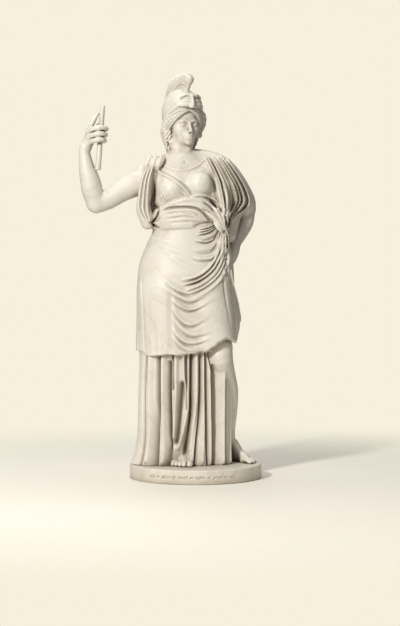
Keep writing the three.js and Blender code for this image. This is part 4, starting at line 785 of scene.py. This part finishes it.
# Hair: combed rolls from the parting to the ears, and ringlets by the neck
FORWARD = (0, -1, 0)
for s in (-1, 1):
    roll = [
        [2, -93, 181, 10], [24, -90, 179, 14], [46, -78, 169, 17],
        [64, -54, 153, 19], [77, -20, 132, 20], [81, 14, 112, 20],
    ]
    head(roped(sided(s, roll), 8, 6, s * 5), 3)
    roll = [
        [3, -95, 171, 7], [26, -92, 164, 10], [50, -76, 148, 14],
        [66, -50, 126, 16], [77, -14, 102, 17], [79, 16, 82, 17],
    ]
    head(roped(sided(s, roll), 7, 5.5, -s * 5), 3)
    head(tube(sided(s, [[72, 0, 112, 18], [72, 30, 84, 22], [62, 52, 40, 22], [54, 56, -8, 16]])), 8)
    for k in range(3):
        far = [s * (90 - 7 * k), 2 + 24 * k, 108]
        near_neck = [s * (64 - 9 * k), 34 + 18 * k, -22 - 6 * k]
        points = []
        for m in range(6):
            t = m / 5
            swell = 6 * math.sin(2.2 * m + 1.9 * k)
            x = mix(far[0], near_neck[0], t * t) + s * swell * 0.5
            y = mix(far[1], near_neck[1], t) + swell
            points.append([x, y, mix(far[2], near_neck[2], t), 14 - 8 * t * t])
        head(roped(points, 3, 5, s * 20, FORWARD), 3)
    head(ellipsoid([s * 74, -2, 100], [9, 13, 19]), 4)
lock = [[-72, -10, 104, 10], [-75, 0, 76, 12], [-69, 8, 46, 12], [-60, 14, 16, 10], [-56, 20, -8, 6]]
head(roped(lock, 3, 5, -18, FORWARD), 3)
lock = [[64, -34, 128, 8], [75, -26, 104, 9], [76, -14, 80, 10], [68, 0, 56, 8], [62, 10, 34, 6]]
head(roped(lock, 3, 4, 14, FORWARD), 3)
# The nape: a row of combed locks
head(ellipsoid([0, 70, 60], [68, 40, 74]), 20)
for k in range(8):
    x = -70 + 20 * k
    bend = 6 * math.sin(2.4 * k)
    y = -0.3 * abs(x)
    lock = [
        [x, 96 + y, 112, 14],
        [x + bend, 108 - 0.35 * abs(x), 74, 16],
        [0.86 * x - bend, 104 + y, 34, 15],
        [0.7 * x + bend, 92 - 0.2 * abs(x), -4, 12],
        [0.6 * x, 80 - 0.2 * abs(x), -32, 6],
    ]
    head(roped(lock, 4, 5, 6, FORWARD), 4)
# A fuller roll of hair on her left, ending in curls
roll = [[66, -58, 168, 14], [90, -34, 154, 19], [106, -4, 132, 20], [110, 18, 104, 19], [100, 30, 76, 14]]
head(roped(roll, 8, 6, 7), 4)
for k in range(3):
    curl = []
    for m in range(8):
        a = (60 + 50 * m + 70 * k) * DEG
        reach = 15 - 1.1 * m
        y, z = 10 + 6 * k + reach * math.cos(a), 112 - 24 * k + reach * math.sin(a)
        curl.append([113 - 5 * k, y, z, 8.5 - 0.4 * m])
    head(tube(curl, 28), 2)

# Helmet and crest
helmet_carving = Carving([-330, -280, 1600], [200, 300, 2064])
EDGE_Y = [-140, -96, -60, 0, 60, 140]
EDGE_Z = [190, 188, 168, 128, 98, 84]


def helmet(form, blend=4):
    helmet_carving.join(placed(form, HEAD), blend)


def edge_at(y):
    return np.interp(y, EDGE_Y, EDGE_Z)


bowl = ellipsoid([0, 12, 166], [98, 122, 122])
mask = ellipsoid([0, -66, 206], [72, 62, 52])


def shell_at(x, y, z):
    return smooth_max(smooth_min(bowl.at(x, y, z), mask.at(x, y, z), 26), edge_at(y) - z, 6)


def rim_at(x, y, z):
    return smooth_max(shell_at(x, y, z) - 5, z - edge_at(y) - 12, 5)


low, high = np.minimum(bowl.low, mask.low), np.maximum(bowl.high, mask.high)
helmet(Form(low, high, shell_at))
helmet(Form(low, high, rim_at))
# The mask: nose, nostrils, brows, eye hollows, eyes and a small ear
helmet(tube([[0, -124, 244, 6], [0, -132, 222, 7], [0, -138, 200, 9], [0, -136, 186, 10]]), 9)
for s in (-1, 1):
    helmet(ball([s * 9, -127, 184], 7), 6)
    helmet(tube(sided(s, [[8, -126, 236, 4], [30, -121, 243, 5], [56, -103, 232, 3]])), 10)
    for y in (-133, -125):
        eye = tube(sided(s, [[17, y, 223, 4], [33, y + 6, 229, 7], [52, y + 21, 219, 4]]))
        helmet_carving.cut(placed(eye, HEAD), 2.5)
    helmet(tube(sided(s, [[16, -123, 216, 2.5], [34, -119, 217, 3], [52, -105, 213, 2.5]])))
    helmet(tube(sided(s, [[94, -2, 128, 7], [97, -14, 112, 6], [94, -28, 108, 4]])))

CREST_Y, CREST_Z = 6, 172  # centre of its arc
CREST_FROM, CREST_TO = 50, 206  # in degrees, from the front over the top


def crest_at(x, y, z):
    radius = np.hypot(y - CREST_Y, z - CREST_Z)
    angle = np.arctan2(z - CREST_Z, -(y - CREST_Y)) / DEG
    angle = np.where(angle < -90, angle + 360, angle)
    outer = mix(203, 195, smooth_step(CREST_FROM, 88, angle))
    outer = outer + 34 * smooth_step(95, 146, angle) - 78 * smooth_step(150, CREST_TO, angle)
    half = mix(12, 22, smooth_step(128, 200, radius))
    wave = angle + 1.2 * np.sin(radius * 0.09)
    groove = 5.5 * np.abs(np.sin(wave * math.pi / 5.2)) ** 0.8 * smooth_step(136, 150, radius)
    half = half - groove - 3.5 * (1 - smooth_step(2, 5, np.abs(radius - 133)))
    plate = smooth_max(np.abs(x) - half, smooth_max(radius - outer + groove, 60 - radius, 8), 22)
    start = (CREST_FROM - angle) * DEG * radius
    end = (angle - CREST_TO) * DEG * radius
    return smooth_max(plate, smooth_max(start, end, 6), 16)


helmet(Form([-30, -190, -60], [30, 250, 390], crest_at), 5)

# Arms, shoulders and mantle
right_arm = tube([
    [-205, 15, 1530, 64], [-265, 5, 1500, 66], [-323, -8, 1470, 59],
    [-380, -20, 1438, 52], [-440, -28, 1402, 50], [-498, -35, 1381, 48],
])
right_forearm = tube([
    [-500, -38, 1384, 48], [-520, -50, 1452, 53], [-530, -55, 1502, 49],
    [-544, -60, 1553, 40], [-556, -62, 1634, 28], [-552, -62, 1660, 29],
])

ROD_LOW, ROD_HIGH = 1546, 1868


def rod_at(x, y, z):
    along = (z - ROD_LOW) / (ROD_HIGH - ROD_LOW)
    side = np.hypot(x - mix(-488, -463.5, along), y + 78) - mix(14.5, 12.5, along)
    ends = np.abs(z - (ROD_LOW + ROD_HIGH) / 2) - (ROD_HIGH - ROD_LOW) / 2
    cup = np.hypot(np.hypot(x + 488, y + 78), z - (ROD_LOW - 3)) - 9
    return np.maximum(smooth_max(side, ends, 3), -cup)


rod = Form([-505, -95, 1540], [-446, -60, 1874], rod_at)
hand = Carving([-640, -160, 1600], [-400, 40, 1900])
palm = [[-553, -60, 1650, 27], [-540, -56, 1684, 29], [-526, -54, 1716, 29], [-520, -58, 1746, 22]]
hand.join(tube(palm))
for n, (z, r) in enumerate([[1751, 14], [1721, 14.5], [1692, 13.5]]):
    back = -4 * n
    finger = [
        [-532 + 2 * n, -72, z - 9, r + 1.5],
        [-516, -92, z - 4, r - 0.5],
        [-500, -106, z, r - 1],
        [-484, -112, z + 3, r + 0.8],
        [-466, -108, z + 4, r - 1.5],
        [-449 + back, -90, z + 1, r - 0.8],
        [-446 + back, -72, z - 1, r - 3],
        [-456 + back, -60, z - 2, r - 4.5],
    ]
    hand.join(tube(finger, 28), 2.5)
    hand.join(ball([-534 + 2 * n, -76, z - 10], r + 2), 5)
first_finger = [
    [-534, -74, 1738, 16], [-524, -86, 1764, 13], [-512, -91, 1786, 13.5],
    [-500, -89, 1808, 11], [-490, -84, 1826, 9],
]
hand.join(tube(first_finger, 20))
thumb = [[-536, -44, 1690, 18], [-520, -34, 1722, 16], [-504, -38, 1748, 13.5], [-488, -50, 1772, 10]]
hand.join(tube(thumb, 14), 5)
shoulder_line = tube([
    [-250, 10, 1535, 54], [-150, 20, 1580, 52], [-66, 22, 1606, 50], [40, 25, 1594, 52], [130, 25, 1552, 56],
])
mantle = tube([
    [-20, 26, 1604, 54], [60, 22, 1588, 64], [125, 20, 1548, 74],
    [180, 42, 1480, 76], [232, 84, 1402, 70], [256, 116, 1366, 52],
])
curtain = tube([[70, -30, 1560, 44], [104, -50, 1480, 46], [122, -66, 1400, 44], [140, -92, 1310, 36]])
left_arm = tube([
    [258, 118, 1352, 46], [250, 106, 1292, 45], [224, 78, 1232, 38],
    [200, 52, 1185, 31], [190, 30, 1140, 31], [180, 8, 1104, 26],
])
kolpos = tube([
    [-222, -36, 1580, 26], [-242, -50, 1502, 30], [-254, -50, 1420, 34],
    [-260, -46, 1350, 38], [-238, -60, 1286, 36],
])

# The whole figure
whole = Carving()
whole.join(skirt)
whole.join(left_leg, 6)
for form, soft in left_foot + right_foot:
    whole.join(form, soft)
upper = Carving([-400, -320, 540], [330, 300, 1440])
upper.join(above_hem(capped(apron, APRON_TOP)))
left_thigh = tube([[60, -52, 1000, 92], [90, -92, 820, 92], [122, -104, 660, 80], [128, -84, 560, 74]])
upper.join(above_hem(left_thigh), 44)
right_thigh = tube([[-150, -60, 940, 108], [-146, -82, 740, 98], [-140, -84, 560, 92]])
upper.join(above_hem(right_thigh), 50)
whole.add(upper, 3)
del upper
body = Carving([-620, -300, 1040], [360, 300, 1740])
body.join(draped(capped(trunk, 1640)))
body.join(shoulder_line, 30)
body.join(draped(ellipsoid([-116, -92, 1452], [66, 64, 64])), 22)
body.join(draped(ellipsoid([22, -92, 1474], [66, 62, 62])), 22)
body.join(draped(curtain), 18)
left_side = tube([[150, 20, 1470, 80], [178, 46, 1390, 72], [170, 30, 1310, 56], [160, 10, 1230, 46]])
body.join(draped(left_side), 20)
body.join(draped(mantle), 16)
body.join(tube([[-206, 18, 1500, 30], [-214, 22, 1420, 32], [-214, 20, 1340, 32], [-204, 10, 1280, 30]]), 14)
body.join(draped(kolpos), 6)
for k in range(3):
    x = -240 + 30 * k
    front = [[x - 12, -44 - 8 * k, 1554, 13], [x, -60 - 8 * k, 1582, 17]]
    gather = front + [[x + 14, -24, 1606, 18], [x + 18, 36, 1598, 17]]
    body.join(roped(gather, 5, 3.5, 2, (1, 0, 0)))
body.join(right_arm, 10)
body.join(right_forearm, 10)
body.join(left_arm, 10)
whole.add(body, 10)
del body
whole.join(sash, 5)
knot = tube([
    [112, -112, 1340, 30], [130, -114, 1290, 28], [138, -108, 1246, 19],
    [136, -96, 1200, 27], [138, -84, 1150, 26],
])
whole.join(draped(knot, 0.9), 12)
# Folds of the sash sweep over one another into the knot, and two more fall from it.
TUCKS = [
    [[52, -138, 1334, 7], [92, -132, 1304, 11], [120, -130, 1270, 11], [138, -114, 1238, 8]],
    [[88, -124, 1356, 7], [118, -126, 1312, 11], [138, -124, 1272, 10], [146, -108, 1238, 8]],
    [[92, -124, 1292, 7], [104, -134, 1268, 9], [122, -130, 1246, 9], [138, -114, 1234, 8]],
    [[134, -112, 1232, 7], [124, -114, 1196, 10], [112, -114, 1150, 10], [92, -132, 1092, 7]],
    [[142, -110, 1230, 7], [138, -116, 1190, 9], [132, -108, 1140, 9], [118, -116, 1080, 6]],
]
for tuck in TUCKS:
    whole.join(tube(tuck, 15), 5)
whole.cut(ellipsoid([146, -130, 1234], [11, 20, 13]), 8)
whole.add(hand, 8)
whole.join(rod, 3)
whole.add(head_carving, 12)
whole.add(helmet_carving, 3)
whole.each([-700, -400, 0], [400, 400, 90], 0, lambda d, x, y, z: np.maximum(d, BED - z))


# Surface of the carving
def grid_mesh(carving):
    band = 6.0  # distances beyond it aren't needed
    grid = openvdb.FloatGrid()
    grid.background = band
    grid.copyFromArray(np.clip(carving.d, -band, band), tolerance=0.0)
    points, tris, quads = grid.convertToPolygons(isovalue=0.0, adaptivity=0.0)
    place = [np.interp(points[:, n], np.arange(len(g)), g) for n, g in enumerate((GX, GY, GZ))]
    return np.stack(place, 1) * MM, tris, quads


def mesh_from(name, points, tris, quads):
    mesh = bpy.data.meshes.new(name)
    loops = np.concatenate([tris.ravel(), quads.ravel()]).astype(np.int32)
    starts = np.concatenate([np.arange(len(tris)) * 3, len(tris) * 3 + np.arange(len(quads)) * 4])
    starts = starts.astype(np.int32)
    mesh.vertices.add(len(points))
    mesh.vertices.foreach_set("co", points.astype(np.float32).ravel())
    mesh.loops.add(len(loops))
    mesh.loops.foreach_set("vertex_index", loops)
    mesh.polygons.add(len(starts))
    mesh.polygons.foreach_set("loop_start", starts)
    mesh.update(calc_edges=True)
    mesh.validate()
    return mesh


def largest_part(points, tris, quads):
    """Keep the largest connected shell, and only its points."""
    label = np.arange(len(points))
    edges = np.concatenate([tris[:, :2], tris[:, 1:], quads[:, :2], quads[:, 1:3], quads[:, 2:]])
    while True:
        low = np.minimum(label[edges[:, 0]], label[edges[:, 1]])
        before = label.copy()
        np.minimum.at(label, edges[:, 0], low)
        np.minimum.at(label, edges[:, 1], low)
        label = label[label]
        if np.array_equal(before, label):
            break
    keep = np.bincount(label).argmax()
    tris, quads = tris[label[tris[:, 0]] == keep], quads[label[quads[:, 0]] == keep]
    used = np.unique(np.concatenate([tris.ravel(), quads.ravel()]))
    renumber = np.zeros(len(points), int)
    renumber[used] = np.arange(len(used))
    return points[used], renumber[tris], renumber[quads]


def relaxed(points, tris, quads, passes, pull):
    """Draw every point some way to the mean of its neighbours."""
    pairs = [tris[:, [n, (n + 1) % 3]] for n in range(3)] + [quads[:, [n, (n + 1) % 4]] for n in range(4)]
    a, b = np.concatenate(pairs).T
    size = len(points)
    count = np.maximum(np.bincount(a, minlength=size) + np.bincount(b, minlength=size), 1)
    for _ in range(passes):
        total = [np.bincount(a, points[b, n], size) + np.bincount(b, points[a, n], size) for n in range(3)]
        points = mix(points, np.stack(total, 1) / count[:, None], pull)
    return points


def thinned(mesh, share):
    """The mesh with about that share of its triangles."""
    name = mesh.name
    dense = bpy.data.objects.new("dense", mesh)
    bpy.context.scene.collection.objects.link(dense)
    dense.modifiers.new("thin", "DECIMATE").ratio = share
    bpy.context.view_layer.update()
    made = bpy.data.meshes.new_from_object(dense.evaluated_get(bpy.context.evaluated_depsgraph_get()))
    bpy.data.objects.remove(dense)
    bpy.data.meshes.remove(mesh)
    made.name = name
    return made


def shown(name, mesh, material):
    """A smooth object of that mesh, in the scene."""
    mesh.polygons.foreach_set("use_smooth", [True] * len(mesh.polygons))
    mesh.materials.append(material)
    made = bpy.data.objects.new(name, mesh)
    bpy.context.scene.collection.objects.link(made)
    return made


# Shader nodes
def fill(tree, made, **inputs):
    """Set each named input to a value, or link it to another node's output."""
    for name, value in inputs.items():
        socket = made.inputs[name.replace("_", " ")]
        if isinstance(value, bpy.types.NodeSocket):
            tree.links.new(value, socket)
        else:
            socket.default_value = value
    return made


def node(tree, kind, **inputs):
    return fill(tree, tree.nodes.new("ShaderNode" + kind), **inputs)


def either(tree, share, first, second):
    made = node(tree, "MixShader", Fac=share)
    tree.links.new(first, made.inputs[1])
    tree.links.new(second, made.inputs[2])
    return made.outputs["Shader"]


def new_material(name):
    made = bpy.data.materials.new(name)
    made.use_nodes = True
    return made, made.node_tree, made.node_tree.nodes["Principled BSDF"]


# Marble
WHITE = (1, 1, 1)
VEIN = (0.86, 0.84, 0.8)
# The next two are colours of painted shade, for hollows and for creases.
HOLLOW_SHADE = (0.62, 0.56, 0.47)
CREASE_SHADE = (0.36, 0.32, 0.25)


def marble(name, base, dark, roughness):
    mat, tree, shader = new_material(name)
    place = node(tree, "TexCoord").outputs["Object"]

    def noise(scale, detail, rough=0.55, warp=0.0):
        made = node(tree, "TexNoise", Vector=place, Scale=scale, Detail=detail)
        return fill(tree, made, Roughness=rough, Distortion=warp).outputs["Fac"]

    def ramp(source, *stops):
        made = node(tree, "ValToRGB", Fac=source)
        marks = made.color_ramp.elements
        for n, (position, colour) in enumerate(stops):
            mark = marks[n] if n < 2 else marks.new(position)
            mark.position = position
            mark.color = (*colour, 1)
        return made.outputs["Color"]

    def times(first, second, share):
        made = node(tree, "MixRGB", Fac=share, Color1=first, Color2=second)
        made.blend_type = "MULTIPLY"
        return made.outputs["Color"]

    stone = ramp(noise(3.2, 6, 0.6, 0.4), (0.3, dark), (0.66, base))
    veins = ramp(noise(2.2, 8, 0.62, 1.6), (0.47, WHITE), (0.5, VEIN), (0.53, WHITE))
    # Painted shade: the colour is darkened in hollows, by their pointiness, and in creases, by ambient
    # occlusion, where shade falls.
    painted_hollow_shade = ramp(node(tree, "NewGeometry").outputs["Pointiness"], (0.44, HOLLOW_SHADE), (0.52, WHITE))
    hollow = node(tree, "AmbientOcclusion", Distance=0.07)
    hollow.samples = 6
    # Painted shade in creases: the more closed in a place is, the darker its colour.
    painted_crease_shade = ramp(hollow.outputs["AO"], (0.2, CREASE_SHADE), (0.85, WHITE))
    colour = times(times(times(stone, veins, 0.6), painted_hollow_shade, 0.7), painted_crease_shade, 0.85)
    grain = node(tree, "Bump", Strength=0.25, Distance=0.0006, Height=noise(260, 3)).outputs["Normal"]
    chisel = node(tree, "Bump", Strength=0.25, Distance=0.002, Height=noise(38, 4), Normal=grain)
    fill(tree, shader, Base_Color=colour, Normal=chisel.outputs["Normal"], Roughness=roughness)
    fill(tree, shader, Subsurface_Weight=0.06, Subsurface_Radius=(0.02, 0.014, 0.009), Subsurface_Scale=0.5)
    return mat


points, tris, quads = largest_part(*grid_mesh(whole))
del whole
points = relaxed(points, tris, quads, 2, 0.5)
points[:, 2] = np.maximum(points[:, 2], BED * MM)
mesh = mesh_from("figure_marble", points, tris, quads)
count = len(tris) + 2 * len(quads)
if count > BODY_TRIANGLES:
    mesh = thinned(mesh, BODY_TRIANGLES / count)
if sum(p.area * p.normal.z * p.center.z for p in mesh.polygons) < 0:
    mesh.flip_normals()
body_marble = marble("marble", (0.85, 0.818, 0.738), (0.77, 0.728, 0.64), 0.5)
figure = shown("figure_marble", mesh, body_marble)
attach(figure, "root")
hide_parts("figure")


# Plinth: a turned disc with worn rims and shallow cut strokes on its front
RIM = 5  # radius of its rounded rims
TICKS = 36


def tick_sheet():
    """A row of plain slanted ticks in groups, which are no letters"""
    strokes = Relief(-PLINTH_RADIUS * 2.2, PLINTH_RADIUS * 2.2, 0, PLINTH_HEIGHT, 1.2)
    u = -250
    for k in range(TICKS):
        u += 10 + math.sin(1.7 * k) + 9 * (k % 7 in (3, 5))
        tall = 7 + 2.5 * math.sin(1.3 * k)
        middle = 35 + 1.5 * math.sin(2.1 * k)
        strokes.stroke([[u - 4, middle - tall], [u + 4, middle + tall]], 3.8, -4.2, 0.1, 0.1)
    return strokes


def plinth_mesh():
    bm = bmesh.new()
    strokes = tick_sheet()
    around_it = 1400
    turns = [2 * math.pi * i / around_it for i in range(around_it)]

    def ring(radius_at, z):
        made = []
        for a in turns:
            r = radius_at(a)
            made.append(bm.verts.new((r * math.cos(a) * MM, r * math.sin(a) * MM, z * MM)))
        return made

    def bridge(lower, higher):
        for i in range(around_it):
            j = (i + 1) % around_it
            bm.faces.new((lower[i], lower[j], higher[j], higher[i]))

    def worn(r, z):
        rim = z > PLINTH_HEIGHT - 10 or z < 10

        def radius_at(a):
            chip = 1.2 * (math.sin(a * 7 + z * 0.05) * math.sin(a * 17 + 1.3)) * (1 if rim else 0.35)
            front = (a + math.pi / 2 + math.pi) % (2 * math.pi) - math.pi
            if abs(front) < 1.2 and 8 < z < PLINTH_HEIGHT - 8 and r == PLINTH_RADIUS:
                chip = abs(chip) - float(strokes.at(np.array(front * PLINTH_RADIUS), np.array(z)))
            return r - abs(chip)

        return radius_at

    profile = [(PLINTH_RADIUS, RIM + 60 * k / 32) for k in range(1, 32)]
    for k in range(5):
        c, s = RIM * math.cos(90 * k / 4 * DEG), RIM * math.sin(90 * k / 4 * DEG)
        profile.append((PLINTH_RADIUS - RIM + c, PLINTH_HEIGHT - RIM + s))
        profile.insert(0, (PLINTH_RADIUS - RIM + c, RIM - s))
    rings = [ring(worn(r, z), z) for r, z in profile]
    bm.faces.new(rings[0][::-1])
    rings += [ring(lambda a: r, PLINTH_HEIGHT) for r in (300, 220, 120, 40)]
    for lower, higher in zip(rings[:-1], rings[1:]):
        bridge(lower, higher)
    bm.faces.new(rings[-1])
    mesh = bpy.data.meshes.new("plinth_stone")
    bm.to_mesh(mesh)
    bm.free()
    return mesh


base_marble = marble("plinth_marble", (0.80, 0.762, 0.675), (0.70, 0.655, 0.565), 0.6)
plinth = shown("plinth_stone", plinth_mesh(), base_marble)
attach(plinth, "root")
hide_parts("plinth")

# Floor: it grows clear with distance, so that it has no edge against the backdrop.
BACKDROP = (0.922, 0.871, 0.723)
FLOOR_FADES = 0.9  # metres from the statue where the floor starts to fade into the backdrop
FLOOR_GONE = 3.0
FLOOR_REACH = 20

paper, tree, shader = new_material("floor")
fill(tree, shader, Base_Color=(0.93, 0.90, 0.815, 1), Roughness=0.9)
away = node(tree, "VectorMath", Vector=node(tree, "TexCoord").outputs["Object"])
away.operation = "LENGTH"
fade = node(tree, "MapRange", Value=away.outputs["Value"], From_Min=FLOOR_FADES, From_Max=FLOOR_GONE)
fade.interpolation_type = "SMOOTHSTEP"
clear = node(tree, "BsdfTransparent").outputs["BSDF"]
faded = either(tree, fade.outputs["Result"], shader.outputs["BSDF"], clear)
fill(tree, tree.nodes["Material Output"], Surface=faded)
floor_mesh = bpy.data.meshes.new("floor")
corners = [(x * FLOOR_REACH, y * FLOOR_REACH, 0) for x, y in ((-1, -1), (1, -1), (1, 1), (-1, 1))]
floor_mesh.from_pydata(corners, [], [(0, 1, 2, 3)])
floor_mesh.materials.append(paper)
floor = bpy.data.objects.new("floor", floor_mesh)
bpy.context.scene.collection.objects.link(floor)

# The backdrop is bright to look at and dim as a light.
world = bpy.data.worlds.new("studio")
world.use_nodes = True
tree = world.node_tree
dim = fill(tree, tree.nodes["Background"], Color=(0.95, 0.92, 0.84, 1), Strength=0.13).outputs["Background"]
seen = node(tree, "Background", Color=(*BACKDROP, 1)).outputs["Background"]
view = node(tree, "LightPath").outputs["Is Camera Ray"]
fill(tree, tree.nodes["World Output"], Surface=either(tree, view, dim, seen))
bpy.context.scene.world = world
bpy.context.scene.view_settings.view_transform = "Standard"


# Lights and camera, in metres
def aimed(name, data, place, aim):
    made = bpy.data.objects.new(name, data)
    made.location = place
    made.rotation_euler = (Vector(aim) - Vector(place)).to_track_quat("-Z", "Y").to_euler()
    bpy.context.scene.collection.objects.link(made)
    return made


CHEST = (0, 0, 1.0)
SUN = (1.0, 0.975, 0.935)
for name, place, aim, size, watts, colour in [
    ("key", (-2.9, -5.0, 3.7), (0, 0, 1.1), 0.7, 330, SUN),
    ("fill", (1.5, -6.0, 2.2), CHEST, 3.0, 30, (0.99, 0.98, 1.0)),
    ("above", (0, 1.2, 7.0), (0, 1.2, 0), 5.0, 215, SUN),
    ("behind", (-1.2, 6.5, 3.2), CHEST, 3.0, 60, (1.0, 0.97, 0.93)),
]:
    lamp = bpy.data.lights.new(name, "AREA")
    lamp.shape = "DISK"
    lamp.size = size
    lamp.energy = watts
    lamp.color = colour
    aimed(name, lamp, place, aim)

camera_data = bpy.data.cameras.new("camera")
camera_data.sensor_width = 36
camera_data.lens = 91
bpy.context.scene.camera = aimed("camera", camera_data, (0.022, -8.0, 1.0), (0.022, 0, 0.83))
